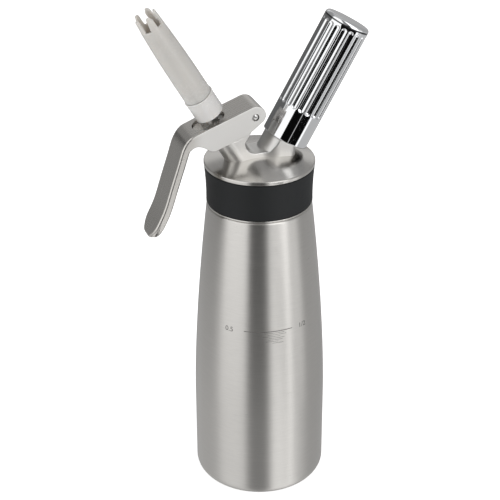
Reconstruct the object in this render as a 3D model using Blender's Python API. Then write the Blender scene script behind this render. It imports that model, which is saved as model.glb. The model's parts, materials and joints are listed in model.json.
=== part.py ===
# Whipped cream dispenser: tapered bottle, screw-on head with a lever valve, and a charger holder.
# Metres, +Z up. The bottle stands on the origin, its axis is the Z axis. The lever and the
# nozzle lie toward -X, the charger holder toward +X, all in the plane y = 0.
import math

import bmesh
import bpy
from mathutils import Matrix, Vector

for old in list(bpy.data.objects):
    bpy.data.objects.remove(old, do_unlink=True)

# General fits
CLEARANCE = 0.0003
OVERRUN = 0.0100
SINK = 0.0004

# Bottle
BOTTLE_RADIUS = 0.0400
BOTTLE_WALL = 0.0012
FOOT_CORNER = 0.0060
SHOULDER_HEIGHT = 0.1876
SHOULDER_WIDTH = 0.0066
SHOULDER_CORNER = 0.0012
TAPER_START_SHARE = 0.31
TAPER_POWER = 1.6
NECK_RADIUS = 0.0244
NECK_WALL = 0.0014

# Thread between the bottle's neck and the head's skirt
NECK_THREAD_HEIGHT = 0.0011
NECK_THREAD_PITCH = 0.0035
NECK_THREAD_TURNS = 1.5
NECK_THREAD_START = 0.0064
THREAD_RUNNING_GAP = 0.0004
RIDGE_BASE_SHARE = 0.36
RIDGE_CREST_SHARE = 0.2
START_SHARE = 0.37
QUARTER_TURN = math.pi / 2
FULL_TURN = math.tau

# Head, collar and gasket
SKIRT_WALL = 0.0020
FLANGE_WIDTH = 0.0033
FLANGE_THICK = 0.0010
COLLAR_HEIGHT = 0.0225
COLLAR_WAIST = 0.0001
RIM_WIDTH = 0.0045
RIM_THICK = 0.0025
RIM_CORNER = 0.0007
DOME_RISE = 0.0044
SEAT_DROP = 0.0026
GASKET_THICK = 0.0023
GASKET_WIDTH = 0.0038

# Casting on top of the head
TOWER_STEP = 0.0001
TOWER_RIGHT = 0.0115
LEDGE_HEIGHT = 0.0092
LEDGE_FILLET = 0.0075
CASTING_SINK = 0.0006
SEAT_BOSS_HEIGHT = 0.0045
PORT_LEDGE = 0.0025
PORT_HALF_WIDTH = 0.0100
PORT_END = 0.0195
PORT_CORNER = 0.0040
PORT_LENGTH = 0.0310
ARM_RADIUS = 0.0076
ARM_LENGTH = 0.0470
ARM_WALL = 0.00115
THRUST_GAP = 0.00457

# Lever and its pin, seen from the side, measured from the pin
PIN_OFFSET = 0.0061
PIN_RADIUS = 0.00185
PIN_CROWN = 0.0002
PIVOT_GAP = 0.0004
LEVER_SLOPE = math.radians(19.0)
CHEEK_GAP = 0.0004
LEVER_PLATE = 0.0020
LEVER_END_RADIUS = 0.00652
LEVER_FLAT = 0.0361
CHEEK_DEPTH = 0.0147
HANDLE_REACH = 0.02824
HANDLE_DROP = 0.0610
HANDLE_THICK = 0.0050
TIP_ROUND = 0.0110
EDGE_ROUND = 0.0008
SLOT_LENGTH = 0.0179
SLOT_WIDTH = 0.0120
SLOT_SHIFT = 0.0010

# Valve: everything here lies along the nozzle's axis
NOZZLE_TILT = math.radians(30.0)
NOZZLE_AXIS_DROP = 0.0181
VALVE_SEAT = 0.0186
SEAL_ROOM = 0.0013
SEAL_RADIUS = 0.0061
SEAL_THICK = 0.0020
NUT_RADIUS = 0.0056
NUT_HEIGHT = 0.0023
STEM_RADIUS = 0.0032
STEM_BORE = 0.0020
STEM_TAIL = 0.0006
STEM_END_WALL = 0.0022
CROSS_HOLE_RADIUS = 0.0012
CROSS_HOLE_RISE = 0.0020
BUSH_WALL = 0.0009
BUSH_GAP = 0.00055
BUSH_FLANGE = 0.0010
SPRING_POCKET = 0.0100
SPRING_WIRE = 0.0009
SPRING_TURNS = 4.25
O_RING_SECTION = 0.0009
O_RING_SPACING = 0.0025
O_RING_START = 0.0059
THRUST_CROWN = 0.0200
THRUST_EDGE = 0.0020

# Nozzle and its adapter
CUFF_STEP = 0.00035
CUFF_LENGTH = 0.0150
CUFF_GAP = 0.0007
CUFF_EDGE = 0.0006
SPIGOT_LENGTH = 0.0080
SPIGOT_WALL = 0.0022
NOZZLE_LENGTH = 0.0592
NOZZLE_RING_ROOM = 0.0018
NOZZLE_TIP_RADIUS = 0.0065
NOZZLE_WALL = 0.0013
NOZZLE_EDGE = 0.0004
PRONG_LENGTH = 0.0090
PRONG_WIDTH = 0.0031
PRONG_COUNT = 5
PRONG_TURN = math.radians(17.0)

# Charger, its holder and what pierces it: everything here lies along the charger's axis
CHARGER_TILT = math.radians(30.0)
CHARGER_AXIS_DROP = 0.0141
CHARGER_RADIUS = 0.00915
CHARGER_LENGTH = 0.0655
CHARGER_WALL = 0.0012
CHARGER_NECK_RADIUS = 0.0044
CHARGER_NECK_LENGTH = 0.0085
CHARGER_SHOULDER = 0.0085
PIERCED_HOLE = 0.0013
HOLDER_WALL = 0.0027
HOLDER_TOP_WALL = 0.0021
HOLDER_TOP_ROUND = 0.0020
HOLDER_LIP = 0.0005
HOLDER_SMOOTH = 0.0185
HOLDER_CROWN_LAND = 0.0037
FLUTE_COUNT = 20
FLUTE_RADIUS = 0.0017
FLUTE_DEPTH = 0.0009
STUB_LENGTH = 0.0130
STUB_STEP = 0.00025
STUB_THREAD_HEIGHT = 0.0008
STUB_THREAD_PITCH = 0.0030
STUB_THREAD_TURNS = 2.5
STUB_THREAD_START = 0.0030
MOUTH_DEPTH_SPARE = 0.0015
RECESS_RADIUS = 0.0060
RECESS_FLOOR = 0.0020
PIERCER_BASE = 0.0008
PIERCER_BASE_RADIUS = 0.0024
PIERCER_RADIUS = 0.0009
PIERCER_TIP = 0.0016
PIERCER_REACH = 0.0030
PIERCING_BUSH = 0.0033
CHARGER_SEAL_THICK = 0.0022
GAS_BORE = 0.0014
GAS_VALVE_RADIUS = 0.0027
GAS_VALVE_LENGTH = 0.0052
GAS_VALVE_TOP = 0.0174

# Number of flat sides on round pieces, and of steps along curves
LARGE_SIDES = 48
MEDIUM_SIDES = 32
SLEEVE_SIDES = 40
SMALL_SIDES = 24
TINY_SIDES = 16
RING_SIDES = 6
CROWN_SIDES = 96
NUT_SIDES = 6
TAPER_STEPS = 6
DOME_STEPS = 4
ROUND_STEPS = 3
EASE_STEPS = 4
FINE_STEPS = 8
SPRING_STEPS = 10

# Places worked out from the sizes above
taper_start = SHOULDER_HEIGHT * TAPER_START_SHARE
skirt_bottom = SHOULDER_HEIGHT + CLEARANCE
flange_top = skirt_bottom + FLANGE_THICK
rim_height = flange_top + COLLAR_HEIGHT + 2 * CLEARANCE
rim_top = rim_height + RIM_THICK
seat_height = rim_height - SEAT_DROP
mouth_height = seat_height - GASKET_THICK - 2 * CLEARANCE
shoulder_radius = NECK_RADIUS + SHOULDER_WIDTH
neck_crest = NECK_RADIUS + NECK_THREAD_HEIGHT
skirt_bore = neck_crest + THREAD_RUNNING_GAP
skirt_radius = skirt_bore + SKIRT_WALL
flange_radius = skirt_radius + FLANGE_WIDTH
rim_radius = skirt_radius + RIM_WIDTH
casting_base = rim_height + CASTING_SINK

nozzle_foot = Vector((0, 0, rim_height - NOZZLE_AXIS_DROP))
nozzle_way = Vector((-math.sin(NOZZLE_TILT), 0, math.cos(NOZZLE_TILT)))
charger_foot = Vector((0, 0, rim_height - CHARGER_AXIS_DROP))
lever_way = Vector((-math.cos(LEVER_SLOPE), 0, -math.sin(LEVER_SLOPE)))
lever_up = Vector((-math.sin(LEVER_SLOPE), 0, math.cos(LEVER_SLOPE)))
plate_underside = LEVER_END_RADIUS - LEVER_PLATE
pivot_boss = plate_underside - PIVOT_GAP
lever_width = 2 * (ARM_RADIUS + CHEEK_GAP + LEVER_PLATE)

# The thrust collar sits above the arm's end, and the lever's plate and pin above the collar
thrust_radius = ARM_RADIUS
thrust_bottom = ARM_LENGTH + THRUST_GAP
crown_edge = thrust_bottom + THRUST_EDGE
crown_centre = crown_edge - math.sqrt(THRUST_CROWN ** 2 - thrust_radius ** 2)
axis_lean = nozzle_way.dot(lever_up)
pin_rise = crown_centre * axis_lean + THRUST_CROWN + CLEARANCE - plate_underside
pin_lift = (pin_rise + PIN_OFFSET * lever_up.x) / lever_up.z
pin_point = nozzle_foot + Vector((-PIN_OFFSET, 0, pin_lift))
plate_top_cross = (LEVER_END_RADIUS + pin_rise) / axis_lean

# Heights along the nozzle's axis
stem_fit = STEM_RADIUS + CLEARANCE
bush_radius = stem_fit + BUSH_WALL
arm_bore = bush_radius + CLEARANCE
valve_room_radius = SEAL_RADIUS + SEAL_ROOM
lower_ring = VALVE_SEAT + O_RING_START
upper_ring = lower_ring + O_RING_SPACING
bush_bottom = upper_ring + O_RING_SECTION / 2 + BUSH_GAP
pocket_floor = ARM_LENGTH - SPRING_POCKET
pocket_radius = ARM_RADIUS - ARM_WALL
bush_top = pocket_floor + CLEARANCE + BUSH_FLANGE
spring_low = bush_top + CLEARANCE
spring_high = thrust_bottom - CLEARANCE
spring_radius = pocket_radius - SPRING_WIRE
seal_top = VALVE_SEAT - CLEARANCE
nut_top = seal_top - SEAL_THICK - CLEARANCE
nut_bottom = nut_top - NUT_HEIGHT
stem_bottom = nut_bottom - STEM_TAIL
spigot_radius = STEM_BORE + SPIGOT_WALL
nozzle_socket = spigot_radius + NOZZLE_RING_ROOM
nozzle_radius = nozzle_socket + NOZZLE_WALL
cuff_radius = nozzle_radius + CUFF_STEP
cuff_bottom = plate_top_cross + cuff_radius * math.tan(NOZZLE_TILT - LEVER_SLOPE) + CUFF_GAP
cuff_top = cuff_bottom + CUFF_LENGTH
spigot_top = cuff_top + SPIGOT_LENGTH
stem_top = cuff_top - STEM_END_WALL
nozzle_bottom = cuff_top + CLEARANCE
nozzle_top = nozzle_bottom + NOZZLE_LENGTH

# Heights along the charger's axis
holder_bottom = PORT_LENGTH + CLEARANCE
stub_top = PORT_LENGTH + STUB_LENGTH
recess_floor = PORT_LENGTH + RECESS_FLOOR
piercer_bottom = recess_floor + CLEARANCE
piercing_bush_low = piercer_bottom + PIERCER_BASE + CLEARANCE
piercing_bush_high = piercing_bush_low + PIERCING_BUSH
charger_seal_low = piercing_bush_high + CLEARANCE
charger_seal_high = charger_seal_low + CHARGER_SEAL_THICK
charger_low = charger_seal_high + CLEARANCE
charger_high = charger_low + CHARGER_LENGTH
recess_fit = RECESS_RADIUS - CLEARANCE
holder_bore_end = charger_high + CLEARANCE
holder_top = holder_bore_end + HOLDER_TOP_WALL
holder_bore = CHARGER_RADIUS + THREAD_RUNNING_GAP
stub_radius = holder_bore + STUB_STEP
port_radius = stub_radius + PORT_LEDGE
holder_mouth = stub_radius + STUB_THREAD_HEIGHT + THREAD_RUNNING_GAP
holder_radius = holder_mouth + HOLDER_WALL
mouth_end = stub_top + MOUTH_DEPTH_SPARE


def finish_material(name, colour, roughness, metallic=0.0):
    """A plain Principled material."""
    made = bpy.data.materials.new(name)
    made.use_nodes = True
    shader = made.node_tree.nodes["Principled BSDF"]
    shader.inputs["Base Color"].default_value = (*colour, 1.0)
    shader.inputs["Roughness"].default_value = roughness
    shader.inputs["Metallic"].default_value = metallic
    return made


def mesh_object(name, mesh_tool, look=None, parent=None):
    """Close a bmesh into an object with its faces pointing out."""
    bmesh.ops.recalc_face_normals(mesh_tool, faces=mesh_tool.faces)
    data = bpy.data.meshes.new(name)
    mesh_tool.to_mesh(data)
    mesh_tool.free()
    data.shade_smooth()
    data.set_sharp_from_angle(angle=math.radians(35.0))
    made = bpy.data.objects.new(name, data)
    bpy.context.scene.collection.objects.link(made)
    if look:
        data.materials.append(look)
    if parent:
        made.parent = parent
    return made


def guide(name, place, tilt=0.0):
    """An empty whose local Z is an axis of the dispenser."""
    made = bpy.data.objects.new(name, None)
    made.location = place
    made.rotation_euler = (0, tilt, 0)
    bpy.context.scene.collection.objects.link(made)
    return made


def combine(target, tool, operation="DIFFERENCE", solver="EXACT"):
    """Cut or join with a hidden tool."""
    step = target.modifiers.new(tool.name, "BOOLEAN")
    step.operation = operation
    step.solver = solver
    step.object = tool
    tool.hide_render = True
    tool.display_type = "WIRE"
    return target


def turned(name, profile, look=None, parent=None, sides=MEDIUM_SIDES):
    """Turn (radius, height) points about Z: the profile ends on the axis or is a closed ring."""
    mesh_tool = bmesh.new()
    rings = []
    for radius, height in profile:
        corners = sides if radius > 0 else 1
        turn = [FULL_TURN * step / sides for step in range(corners)]
        ring = [(radius * math.cos(angle), radius * math.sin(angle), height) for angle in turn]
        rings.append([mesh_tool.verts.new(point) for point in ring])
    follow = rings[1:] if profile[0][0] == 0 else rings[1:] + rings[:1]
    for low, high in zip(rings, follow):
        for step in range(sides):
            after = step + 1
            face = [low[step % len(low)], low[after % len(low)]]
            face += [high[after % len(high)], high[step % len(high)]]
            mesh_tool.faces.new(list(dict.fromkeys(face)))
    return mesh_object(name, mesh_tool, look, parent)


def rod(name, radius, low, high, look=None, parent=None, sides=SMALL_SIDES):
    """A solid round bar along Z."""
    return turned(name, [(0, low), (radius, low), (radius, high), (0, high)], look, parent, sides)


def tube(name, outer, inner, low, high, look=None, parent=None, sides=SMALL_SIDES):
    """A round sleeve along Z."""
    return turned(name, [(inner, low), (outer, low), (outer, high), (inner, high)], look, parent, sides)


def arc(centre, radius, start, stop, steps):
    """Points on a round corner, angles in degrees."""
    angles = [math.radians(start + (stop - start) * step / steps) for step in range(steps + 1)]
    return [(centre[0] + radius * math.cos(a), centre[1] + radius * math.sin(a)) for a in angles]


def slab(name, outline, low, high, axis, parent=None, look=None):
    """Extrude an outline: of (x, z) points along Y, or of (x, y) points along Z."""
    mesh_tool = bmesh.new()
    place = (lambda u, v, w: (u, w, v)) if axis == "Y" else (lambda u, v, w: (u, v, w))
    sheets = [[mesh_tool.verts.new(place(u, v, w)) for u, v in outline] for w in (low, high)]
    for sheet in sheets:
        mesh_tool.faces.new(sheet)
    count = len(outline)
    for step in range(count):
        after = (step + 1) % count
        mesh_tool.faces.new((sheets[0][step], sheets[0][after], sheets[1][after], sheets[1][step]))
    return mesh_object(name, mesh_tool, look, parent)


def thread_ridge(name, root, crest, pitch, turns, start, sides, parent=None):
    """One helical ridge of a right-hand thread, its middle at height start where the angle is zero."""
    half_base = pitch * RIDGE_BASE_SHARE / 2
    half_crest = pitch * RIDGE_CREST_SHARE / 2
    section = ((root, -half_base), (crest, -half_crest), (crest, half_crest), (root, half_base))
    mesh_tool = bmesh.new()
    rings = []
    for step in range(round(turns * sides) + 1):
        share = (step + START_SHARE) / sides
        angle = FULL_TURN * share
        climb = start + pitch * share
        spot = [(r * math.cos(angle), r * math.sin(angle), climb + h) for r, h in section]
        rings.append([mesh_tool.verts.new(point) for point in spot])
    for low, high in zip(rings, rings[1:]):
        for corner in range(len(section)):
            after = (corner + 1) % len(section)
            mesh_tool.faces.new((low[corner], low[after], high[after], high[corner]))
    mesh_tool.faces.new(rings[0])
    mesh_tool.faces.new(rings[-1])
    return mesh_object(name, mesh_tool, None, parent)


def o_ring(name, middle_radius, height, parent):
    """A rubber ring of round section."""
    turn = [FULL_TURN * step / RING_SIDES for step in range(RING_SIDES)]
    half = O_RING_SECTION / 2
    profile = [(middle_radius + half * math.cos(a), height + half * math.sin(a)) for a in turn]
    return turned(name, profile, rubber, parent, TINY_SIDES)


steel = finish_material("brushed_steel", (0.56, 0.55, 0.53), 0.32, 1.0)
satin_steel = finish_material("satin_steel", (0.66, 0.65, 0.63), 0.38, 1.0)
chrome = finish_material("chrome", (0.82, 0.83, 0.84), 0.06, 1.0)
silicone = finish_material("black_silicone", (0.018, 0.020, 0.021), 0.55)
rubber = finish_material("rubber", (0.05, 0.05, 0.05), 0.65)
white_plastic = finish_material("white_plastic", (0.80, 0.79, 0.77), 0.35)
brass = finish_material("brass", (0.72, 0.52, 0.25), 0.3, 1.0)
bulb_steel = finish_material("bulb_steel", (0.60, 0.60, 0.60), 0.28, 1.0)

nozzle_axis = guide("nozzle_axis", nozzle_foot, -NOZZLE_TILT)
charger_axis = guide("charger_axis", charger_foot, CHARGER_TILT)
pin_axis = guide("pin_axis", pin_point)


# Bottle
def wall_radius(height):
    """Outer radius of the bottle's wall."""
    climb = max(height - taper_start, 0) / (SHOULDER_HEIGHT - taper_start)
    return BOTTLE_RADIUS - (BOTTLE_RADIUS - shoulder_radius) * climb ** TAPER_POWER


def make_bottle():
    """Thin drawn shell with a flat foot, a tapered wall and a threaded neck."""
    foot = arc((BOTTLE_RADIUS - FOOT_CORNER, FOOT_CORNER), FOOT_CORNER, -90, 0, ROUND_STEPS)
    top = SHOULDER_HEIGHT - SHOULDER_CORNER
    climbs = [taper_start + (top - taper_start) * step / TAPER_STEPS for step in range(TAPER_STEPS + 1)]
    outside = [(wall_radius(height), height) for height in climbs]
    corner_centre = (wall_radius(top) - SHOULDER_CORNER, top)
    shoulder = arc(corner_centre, SHOULDER_CORNER, 0, 90, 2)[1:]
    neck = [(NECK_RADIUS, SHOULDER_HEIGHT), (NECK_RADIUS, mouth_height)]
    bore = NECK_RADIUS - NECK_WALL
    under = SHOULDER_HEIGHT - NECK_WALL
    mouth = [(bore, mouth_height), (bore, under)]
    inside = [(wall_radius(height) - BOTTLE_WALL, min(height, under)) for height in climbs[::-2]]
    inner_round = FOOT_CORNER - BOTTLE_WALL
    inner_centre = (BOTTLE_RADIUS - FOOT_CORNER, FOOT_CORNER)
    floor = arc(inner_centre, inner_round, 0, -90, 2)
    profile = [(0, 0), *foot, *outside, *shoulder, *neck, *mouth, *inside, *floor, (0, BOTTLE_WALL)]
    bottle = turned("bottle", profile, steel, None, LARGE_SIDES)
    start = SHOULDER_HEIGHT + NECK_THREAD_START
    ridge = thread_ridge("neck_ridge", NECK_RADIUS - SINK, neck_crest, NECK_THREAD_PITCH,
                         NECK_THREAD_TURNS, start, MEDIUM_SIDES)
    combine(bottle, ridge, "UNION")


# Head
def dome_height(radius):
    """Top of the domed cover at a radius."""
    reach = rim_radius - RIM_CORNER
    return rim_top + DOME_RISE * (1 - (radius / reach) ** 2)


# The head's threads stay closed only with this solver
HEAD_SOLVER = "MANIFOLD"


def cover_and_skirt():
    """The turned body of the head: domed cover, rim, skirt and bottom flange."""
    reach = rim_radius - RIM_CORNER
    rim_edge = arc((reach, rim_top - RIM_CORNER), RIM_CORNER, 0, 90, 2)
    dome = [(reach * (1 - step / DOME_STEPS), 0) for step in range(1, DOME_STEPS + 1)]
    dome = [(radius, dome_height(radius)) for radius, _ in dome]
    profile = [(0, seat_height), (skirt_bore, seat_height), (skirt_bore, skirt_bottom),
               (flange_radius, skirt_bottom), (flange_radius, flange_top), (skirt_radius, flange_top),
               (skirt_radius, rim_height), (rim_radius, rim_height), *rim_edge, *dome]
    return turned("head", profile, satin_steel, None, LARGE_SIDES)


def casting_side_view():
    """Side outline of the tower and the ledge, as (x, z) points."""
    ledge = rim_height + LEDGE_HEIGHT
    fillet_centre = (LEDGE_FILLET - TOWER_RIGHT, ledge + LEDGE_FILLET)
    fillet = arc(fillet_centre, LEDGE_FILLET, 270, 180, EASE_STEPS)
    boss = arc((pin_point.x, pin_point.z), pivot_boss, -40, 190, FINE_STEPS)
    arm_side = nozzle_foot + nozzle_way * (ARM_LENGTH - ARM_RADIUS)
    arm_low = nozzle_foot + nozzle_way * (ARM_LENGTH / 2)
    left_foot = (arm_side.x + ARM_RADIUS, arm_side.z + ARM_RADIUS / 2)
    return [(PORT_END - port_radius, casting_base), (PORT_END - port_radius, ledge), *fillet,
            *boss, left_foot, (arm_side.x, arm_side.z), (arm_low.x, casting_base)]


def casting_plan():
    """Plan outline that trims the casting: narrow between the lever's cheeks, flared at the port."""
    narrow = ARM_RADIUS - TOWER_STEP
    flare_from = pivot_boss - PIN_OFFSET
    flare_run = PORT_END / 2 - flare_from
    side = [(-TOWER_RIGHT - ARM_RADIUS * 2, narrow)]
    for step in range(EASE_STEPS + 1):
        share = step / EASE_STEPS
        ease = share * share * (3 - 2 * share)
        side.append((flare_from + flare_run * share, narrow + (PORT_HALF_WIDTH - narrow) * ease))
    side += arc((PORT_END - PORT_CORNER, PORT_HALF_WIDTH - PORT_CORNER), PORT_CORNER, 90, 0, EASE_STEPS)
    return side + [(x, -y) for x, y in side[::-1]]


def head_additions():
    """The casting on the cover, the seat boss under it, the charger stub and both threads."""
    high = pin_point.z + OVERRUN
    web = slab("web", casting_side_view(), -port_radius, port_radius, "Y")
    port = rod("port_round", port_radius, 0, PORT_LENGTH, None, charger_axis, MEDIUM_SIDES)
    combine(web, port, "UNION")
    combine(web, slab("plan_trim", casting_plan(), casting_base, high, "Z"), "INTERSECT")
    arm = rod("arm_round", ARM_RADIUS, 0, ARM_LENGTH, None, nozzle_axis, MEDIUM_SIDES)
    left, right, side = -ARM_LENGTH, ARM_LENGTH, ARM_RADIUS + OVERRUN
    block = [(left, -side), (right, -side), (right, side), (left, side)]
    combine(arm, slab("arm_trim", block, casting_base + CLEARANCE / 2, high, "Z"), "INTERSECT")
    boss_top = VALVE_SEAT + SEAT_BOSS_HEIGHT
    seat_boss = rod("seat_boss", valve_room_radius, VALVE_SEAT, boss_top, None, nozzle_axis)
    stub_low = PORT_LENGTH - SINK
    stub = rod("stub_round", stub_radius, stub_low, stub_top, None, charger_axis, MEDIUM_SIDES)
    stub_crest = stub_radius + STUB_THREAD_HEIGHT
    stub_start = PORT_LENGTH + STUB_THREAD_START
    stub_ridge = thread_ridge("stub_ridge", stub_radius - SINK, stub_crest, STUB_THREAD_PITCH,
                              STUB_THREAD_TURNS, stub_start, SMALL_SIDES, charger_axis)
    skirt_start = SHOULDER_HEIGHT + NECK_THREAD_START - NECK_THREAD_PITCH / 2
    skirt_crest = NECK_RADIUS + THREAD_RUNNING_GAP
    skirt_ridge = thread_ridge("skirt_ridge", skirt_bore + SINK, skirt_crest, NECK_THREAD_PITCH,
                               NECK_THREAD_TURNS, skirt_start, MEDIUM_SIDES)
    return web, arm, seat_boss, stub, stub_ridge, skirt_ridge


def head_cuts():
    """Valve pocket, stem bore, spring pocket, charger recess, gas passage and pin hole."""
    past_arm = ARM_LENGTH + OVERRUN
    pocket = rod("valve_pocket_cut", valve_room_radius, nut_bottom - OVERRUN, VALVE_SEAT, None, nozzle_axis)
    bore = rod("stem_bore_cut", arm_bore, VALVE_SEAT - SINK, past_arm, None, nozzle_axis)
    spring_room = rod("spring_pocket_cut", pocket_radius, pocket_floor, past_arm, None, nozzle_axis)
    recess = rod("recess_cut", RECESS_RADIUS, recess_floor, stub_top + OVERRUN, None, charger_axis)
    passage = rod("gas_bore_cut", GAS_BORE, GAS_VALVE_TOP - SINK, recess_floor + SINK, None, charger_axis)
    valve_fit = GAS_VALVE_RADIUS + CLEARANCE
    valve_room = rod("gas_valve_cut", valve_fit, 0, GAS_VALVE_TOP + CLEARANCE, None, charger_axis)
    pin_hole = rod("pin_hole_cut", PIN_RADIUS + CLEARANCE, -lever_width, lever_width, None, pin_axis)
    pin_hole.rotation_euler = (QUARTER_TURN, 0, 0)
    return pocket, bore, spring_room, recess, passage, valve_room, pin_hole


def make_head():
    """Cover and skirt with the cast arm, tower and port, then every bore."""
    head = cover_and_skirt()
    for tool in head_additions():
        combine(head, tool, "UNION", HEAD_SOLVER)
    for tool in head_cuts():
        combine(head, tool, "DIFFERENCE", HEAD_SOLVER)


def make_collar_and_gasket():
    """The silicone sleeve on the skirt, slightly drawn in at its middle, and the mouth's gasket."""
    inner = skirt_radius + CLEARANCE
    low = flange_top + CLEARANCE
    top_radius = rim_radius - CLEARANCE / 2
    outside = []
    for step in range(EASE_STEPS + 1):
        share = step / EASE_STEPS
        line = flange_radius + (top_radius - flange_radius) * share ** 2
        outside.append((line - COLLAR_WAIST * math.sin(math.pi * share), low + COLLAR_HEIGHT * share))
    profile = [(inner, low), *outside, (inner, low + COLLAR_HEIGHT)]
    turned("heat_collar", profile, silicone, None, LARGE_SIDES)
    gasket_low = mouth_height + CLEARANCE
    gasket_out = skirt_bore - CLEARANCE
    tube("head_gasket", gasket_out, gasket_out - GASKET_WIDTH, gasket_low, gasket_low + GASKET_THICK,
         rubber, None, LARGE_SIDES)


# Lever
def lever_point(reach, rise):
    """A side-view point given along and across the lever's plate, from the pin."""
    spot = lever_way * reach + lever_up * rise
    return (spot.x, spot.z)


# Outer face of the handle from the bend to the tip, as shares of the handle's reach and drop
HANDLE_SHARES = ((-0.052, -0.008), (-0.112, -0.027), (-0.178, -0.058), (-0.235, -0.099),
                 (-0.288, -0.154), (-0.377, -0.283), (-0.466, -0.404), (-0.550, -0.520),
                 (-0.635, -0.643), (-0.706, -0.731), (-0.783, -0.806), (-0.854, -0.868),
                 (-0.913, -0.920), (-0.959, -0.962), (-0.986, -0.987), (-1.000, -1.000))
# Half width of the blunt tip, as a share of the handle's
TIP_FLAT_SHARE = 0.3
# Where the handle's inner face begins among those points
INNER_FROM = 3
# Lower edge of the cheeks as shares of the flat length and the cheek depth
CHEEK_SHARES = ((1.080, -0.040), (1.030, -0.048), (0.983, -0.105), (0.929, -0.225),
                (0.880, -0.385), (0.835, -0.500), (0.765, -0.555), (0.690, -0.557),
                (0.260, -0.557), (0.190, -0.535), (0.110, -0.480), (-0.110, -0.310))


def handle_point(share):
    """A side-view point of the handle, from the pin, given by its shares from the bend on."""
    bend = Vector(lever_point(LEVER_FLAT, LEVER_END_RADIUS))
    return bend + Vector((share[0] * HANDLE_REACH, share[1] * HANDLE_DROP))


def lever_outline():
    """Closed side outline of the lever: end arc, top, handle, tip and the cheeks' lower edge."""
    end = [lever_point(-x, z) for x, z in arc((0, 0), LEVER_END_RADIUS, -20, 90, FINE_STEPS)]
    top = [lever_point(LEVER_FLAT * share, LEVER_END_RADIUS) for share in (0.4, 0.8)]
    outer = [handle_point(share) for share in HANDLE_SHARES]
    inner = []
    for step in range(INNER_FROM, len(outer)):
        after = min(step + 1, len(outer) - 1)
        along = (outer[after] - outer[after - 2]).normalized()
        inner.append(outer[step] + Vector((-along.y, along.x)) * HANDLE_THICK)
    cheek = [lever_point(x * LEVER_FLAT, z * CHEEK_DEPTH) for x, z in CHEEK_SHARES]
    return end + top + [tuple(point) for point in outer + inner[::-1]] + cheek


def inset(outline, amount):
    """The outline moved inward by an amount, corner by corner."""
    moved = []
    count = len(outline)
    for step, point in enumerate(outline):
        here = Vector(point)
        before = (here - Vector(outline[step - 1])).normalized()
        after = (Vector(outline[(step + 1) % count]) - here).normalized()
        normal = Vector((-(before.y + after.y), before.x + after.x)).normalized()
        moved.append(tuple(here + normal * amount))
    return moved


def make_lever():
    """Side outline with rounded edges and a rounded tip, hollowed between the cheeks."""
    outline = lever_outline()
    half = lever_width / 2
    tip = handle_point(HANDLE_SHARES[-1])
    tip_way = (tip - handle_point(HANDLE_SHARES[-4])).normalized()
    mesh_tool = bmesh.new()
    sheets = []
    for side, pull in ((-1, EDGE_ROUND), (-1, 0), (1, 0), (1, EDGE_ROUND)):
        sheet = []
        for x, z in inset(outline, pull):
            from_tip = max((tip - Vector((x, z))).dot(tip_way), 0)
            bare = max(1 - from_tip / TIP_ROUND, 0)
            narrow = max(math.sqrt(1 - bare * bare), TIP_FLAT_SHARE)
            width = (half - EDGE_ROUND + pull) * narrow
            sheet.append(mesh_tool.verts.new((x, side * width, z)))
        sheets.append(sheet)
    count = len(outline)
    for low, high in zip(sheets, sheets[1:]):
        for step in range(count):
            after = (step + 1) % count
            mesh_tool.faces.new((low[step], low[after], high[after], high[step]))
    mesh_tool.faces.new(sheets[0])
    mesh_tool.faces.new(sheets[-1])
    lever = mesh_object("lever", mesh_tool, satin_steel)
    lever.location = pin_point

    end = [lever_point(-x, z) for x, z in arc((0, 0), plate_underside, -15, 90, FINE_STEPS)]
    far = LEVER_FLAT - LEVER_PLATE
    hollow = [*end, lever_point(far, plate_underside), lever_point(far + LEVER_PLATE, 0),
              lever_point(far + LEVER_PLATE * 2, -CHEEK_DEPTH), lever_point(0, -CHEEK_DEPTH)]
    inner = half - LEVER_PLATE
    combine(lever, slab("lever_hollow_cut", hollow, -inner, inner, "Y", pin_axis))

    crossing = plate_cross_reach() + SLOT_SHIFT
    run = (SLOT_LENGTH - SLOT_WIDTH) / 2
    right = arc((run, 0), SLOT_WIDTH / 2, -90, 90, FINE_STEPS)
    slot = right + [(-x, -y) for x, y in right]
    slot_axis = guide("slot_axis", pin_point + lever_way * crossing, -LEVER_SLOPE)
    slot_low = plate_underside - LEVER_PLATE
    slot_high = LEVER_END_RADIUS + LEVER_PLATE
    slot_cut = slab("slot_cut", slot, slot_low, slot_high, "Z", slot_axis)
    combine(lever, slot_cut)
    pin_hole = rod("lever_pin_hole_cut", PIN_RADIUS + CLEARANCE, -lever_width, lever_width, None, pin_axis)
    pin_hole.rotation_euler = (QUARTER_TURN, 0, 0)
    combine(lever, pin_hole)

    long = half + PIN_CROWN
    edge = PIN_RADIUS - PIN_CROWN * 2
    profile = [(0, -long), (edge, -long), (PIN_RADIUS, -half), (PIN_RADIUS, half), (edge, long), (0, long)]
    pin = turned("lever_pin", profile, chrome, pin_axis, SMALL_SIDES)
    pin.rotation_euler = (QUARTER_TURN, 0, 0)


def plate_cross_reach():
    """How far from the pin the nozzle's axis crosses the plate's top."""
    crossing = nozzle_foot + nozzle_way * plate_top_cross
    return (crossing - pin_point).dot(lever_way)


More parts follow.
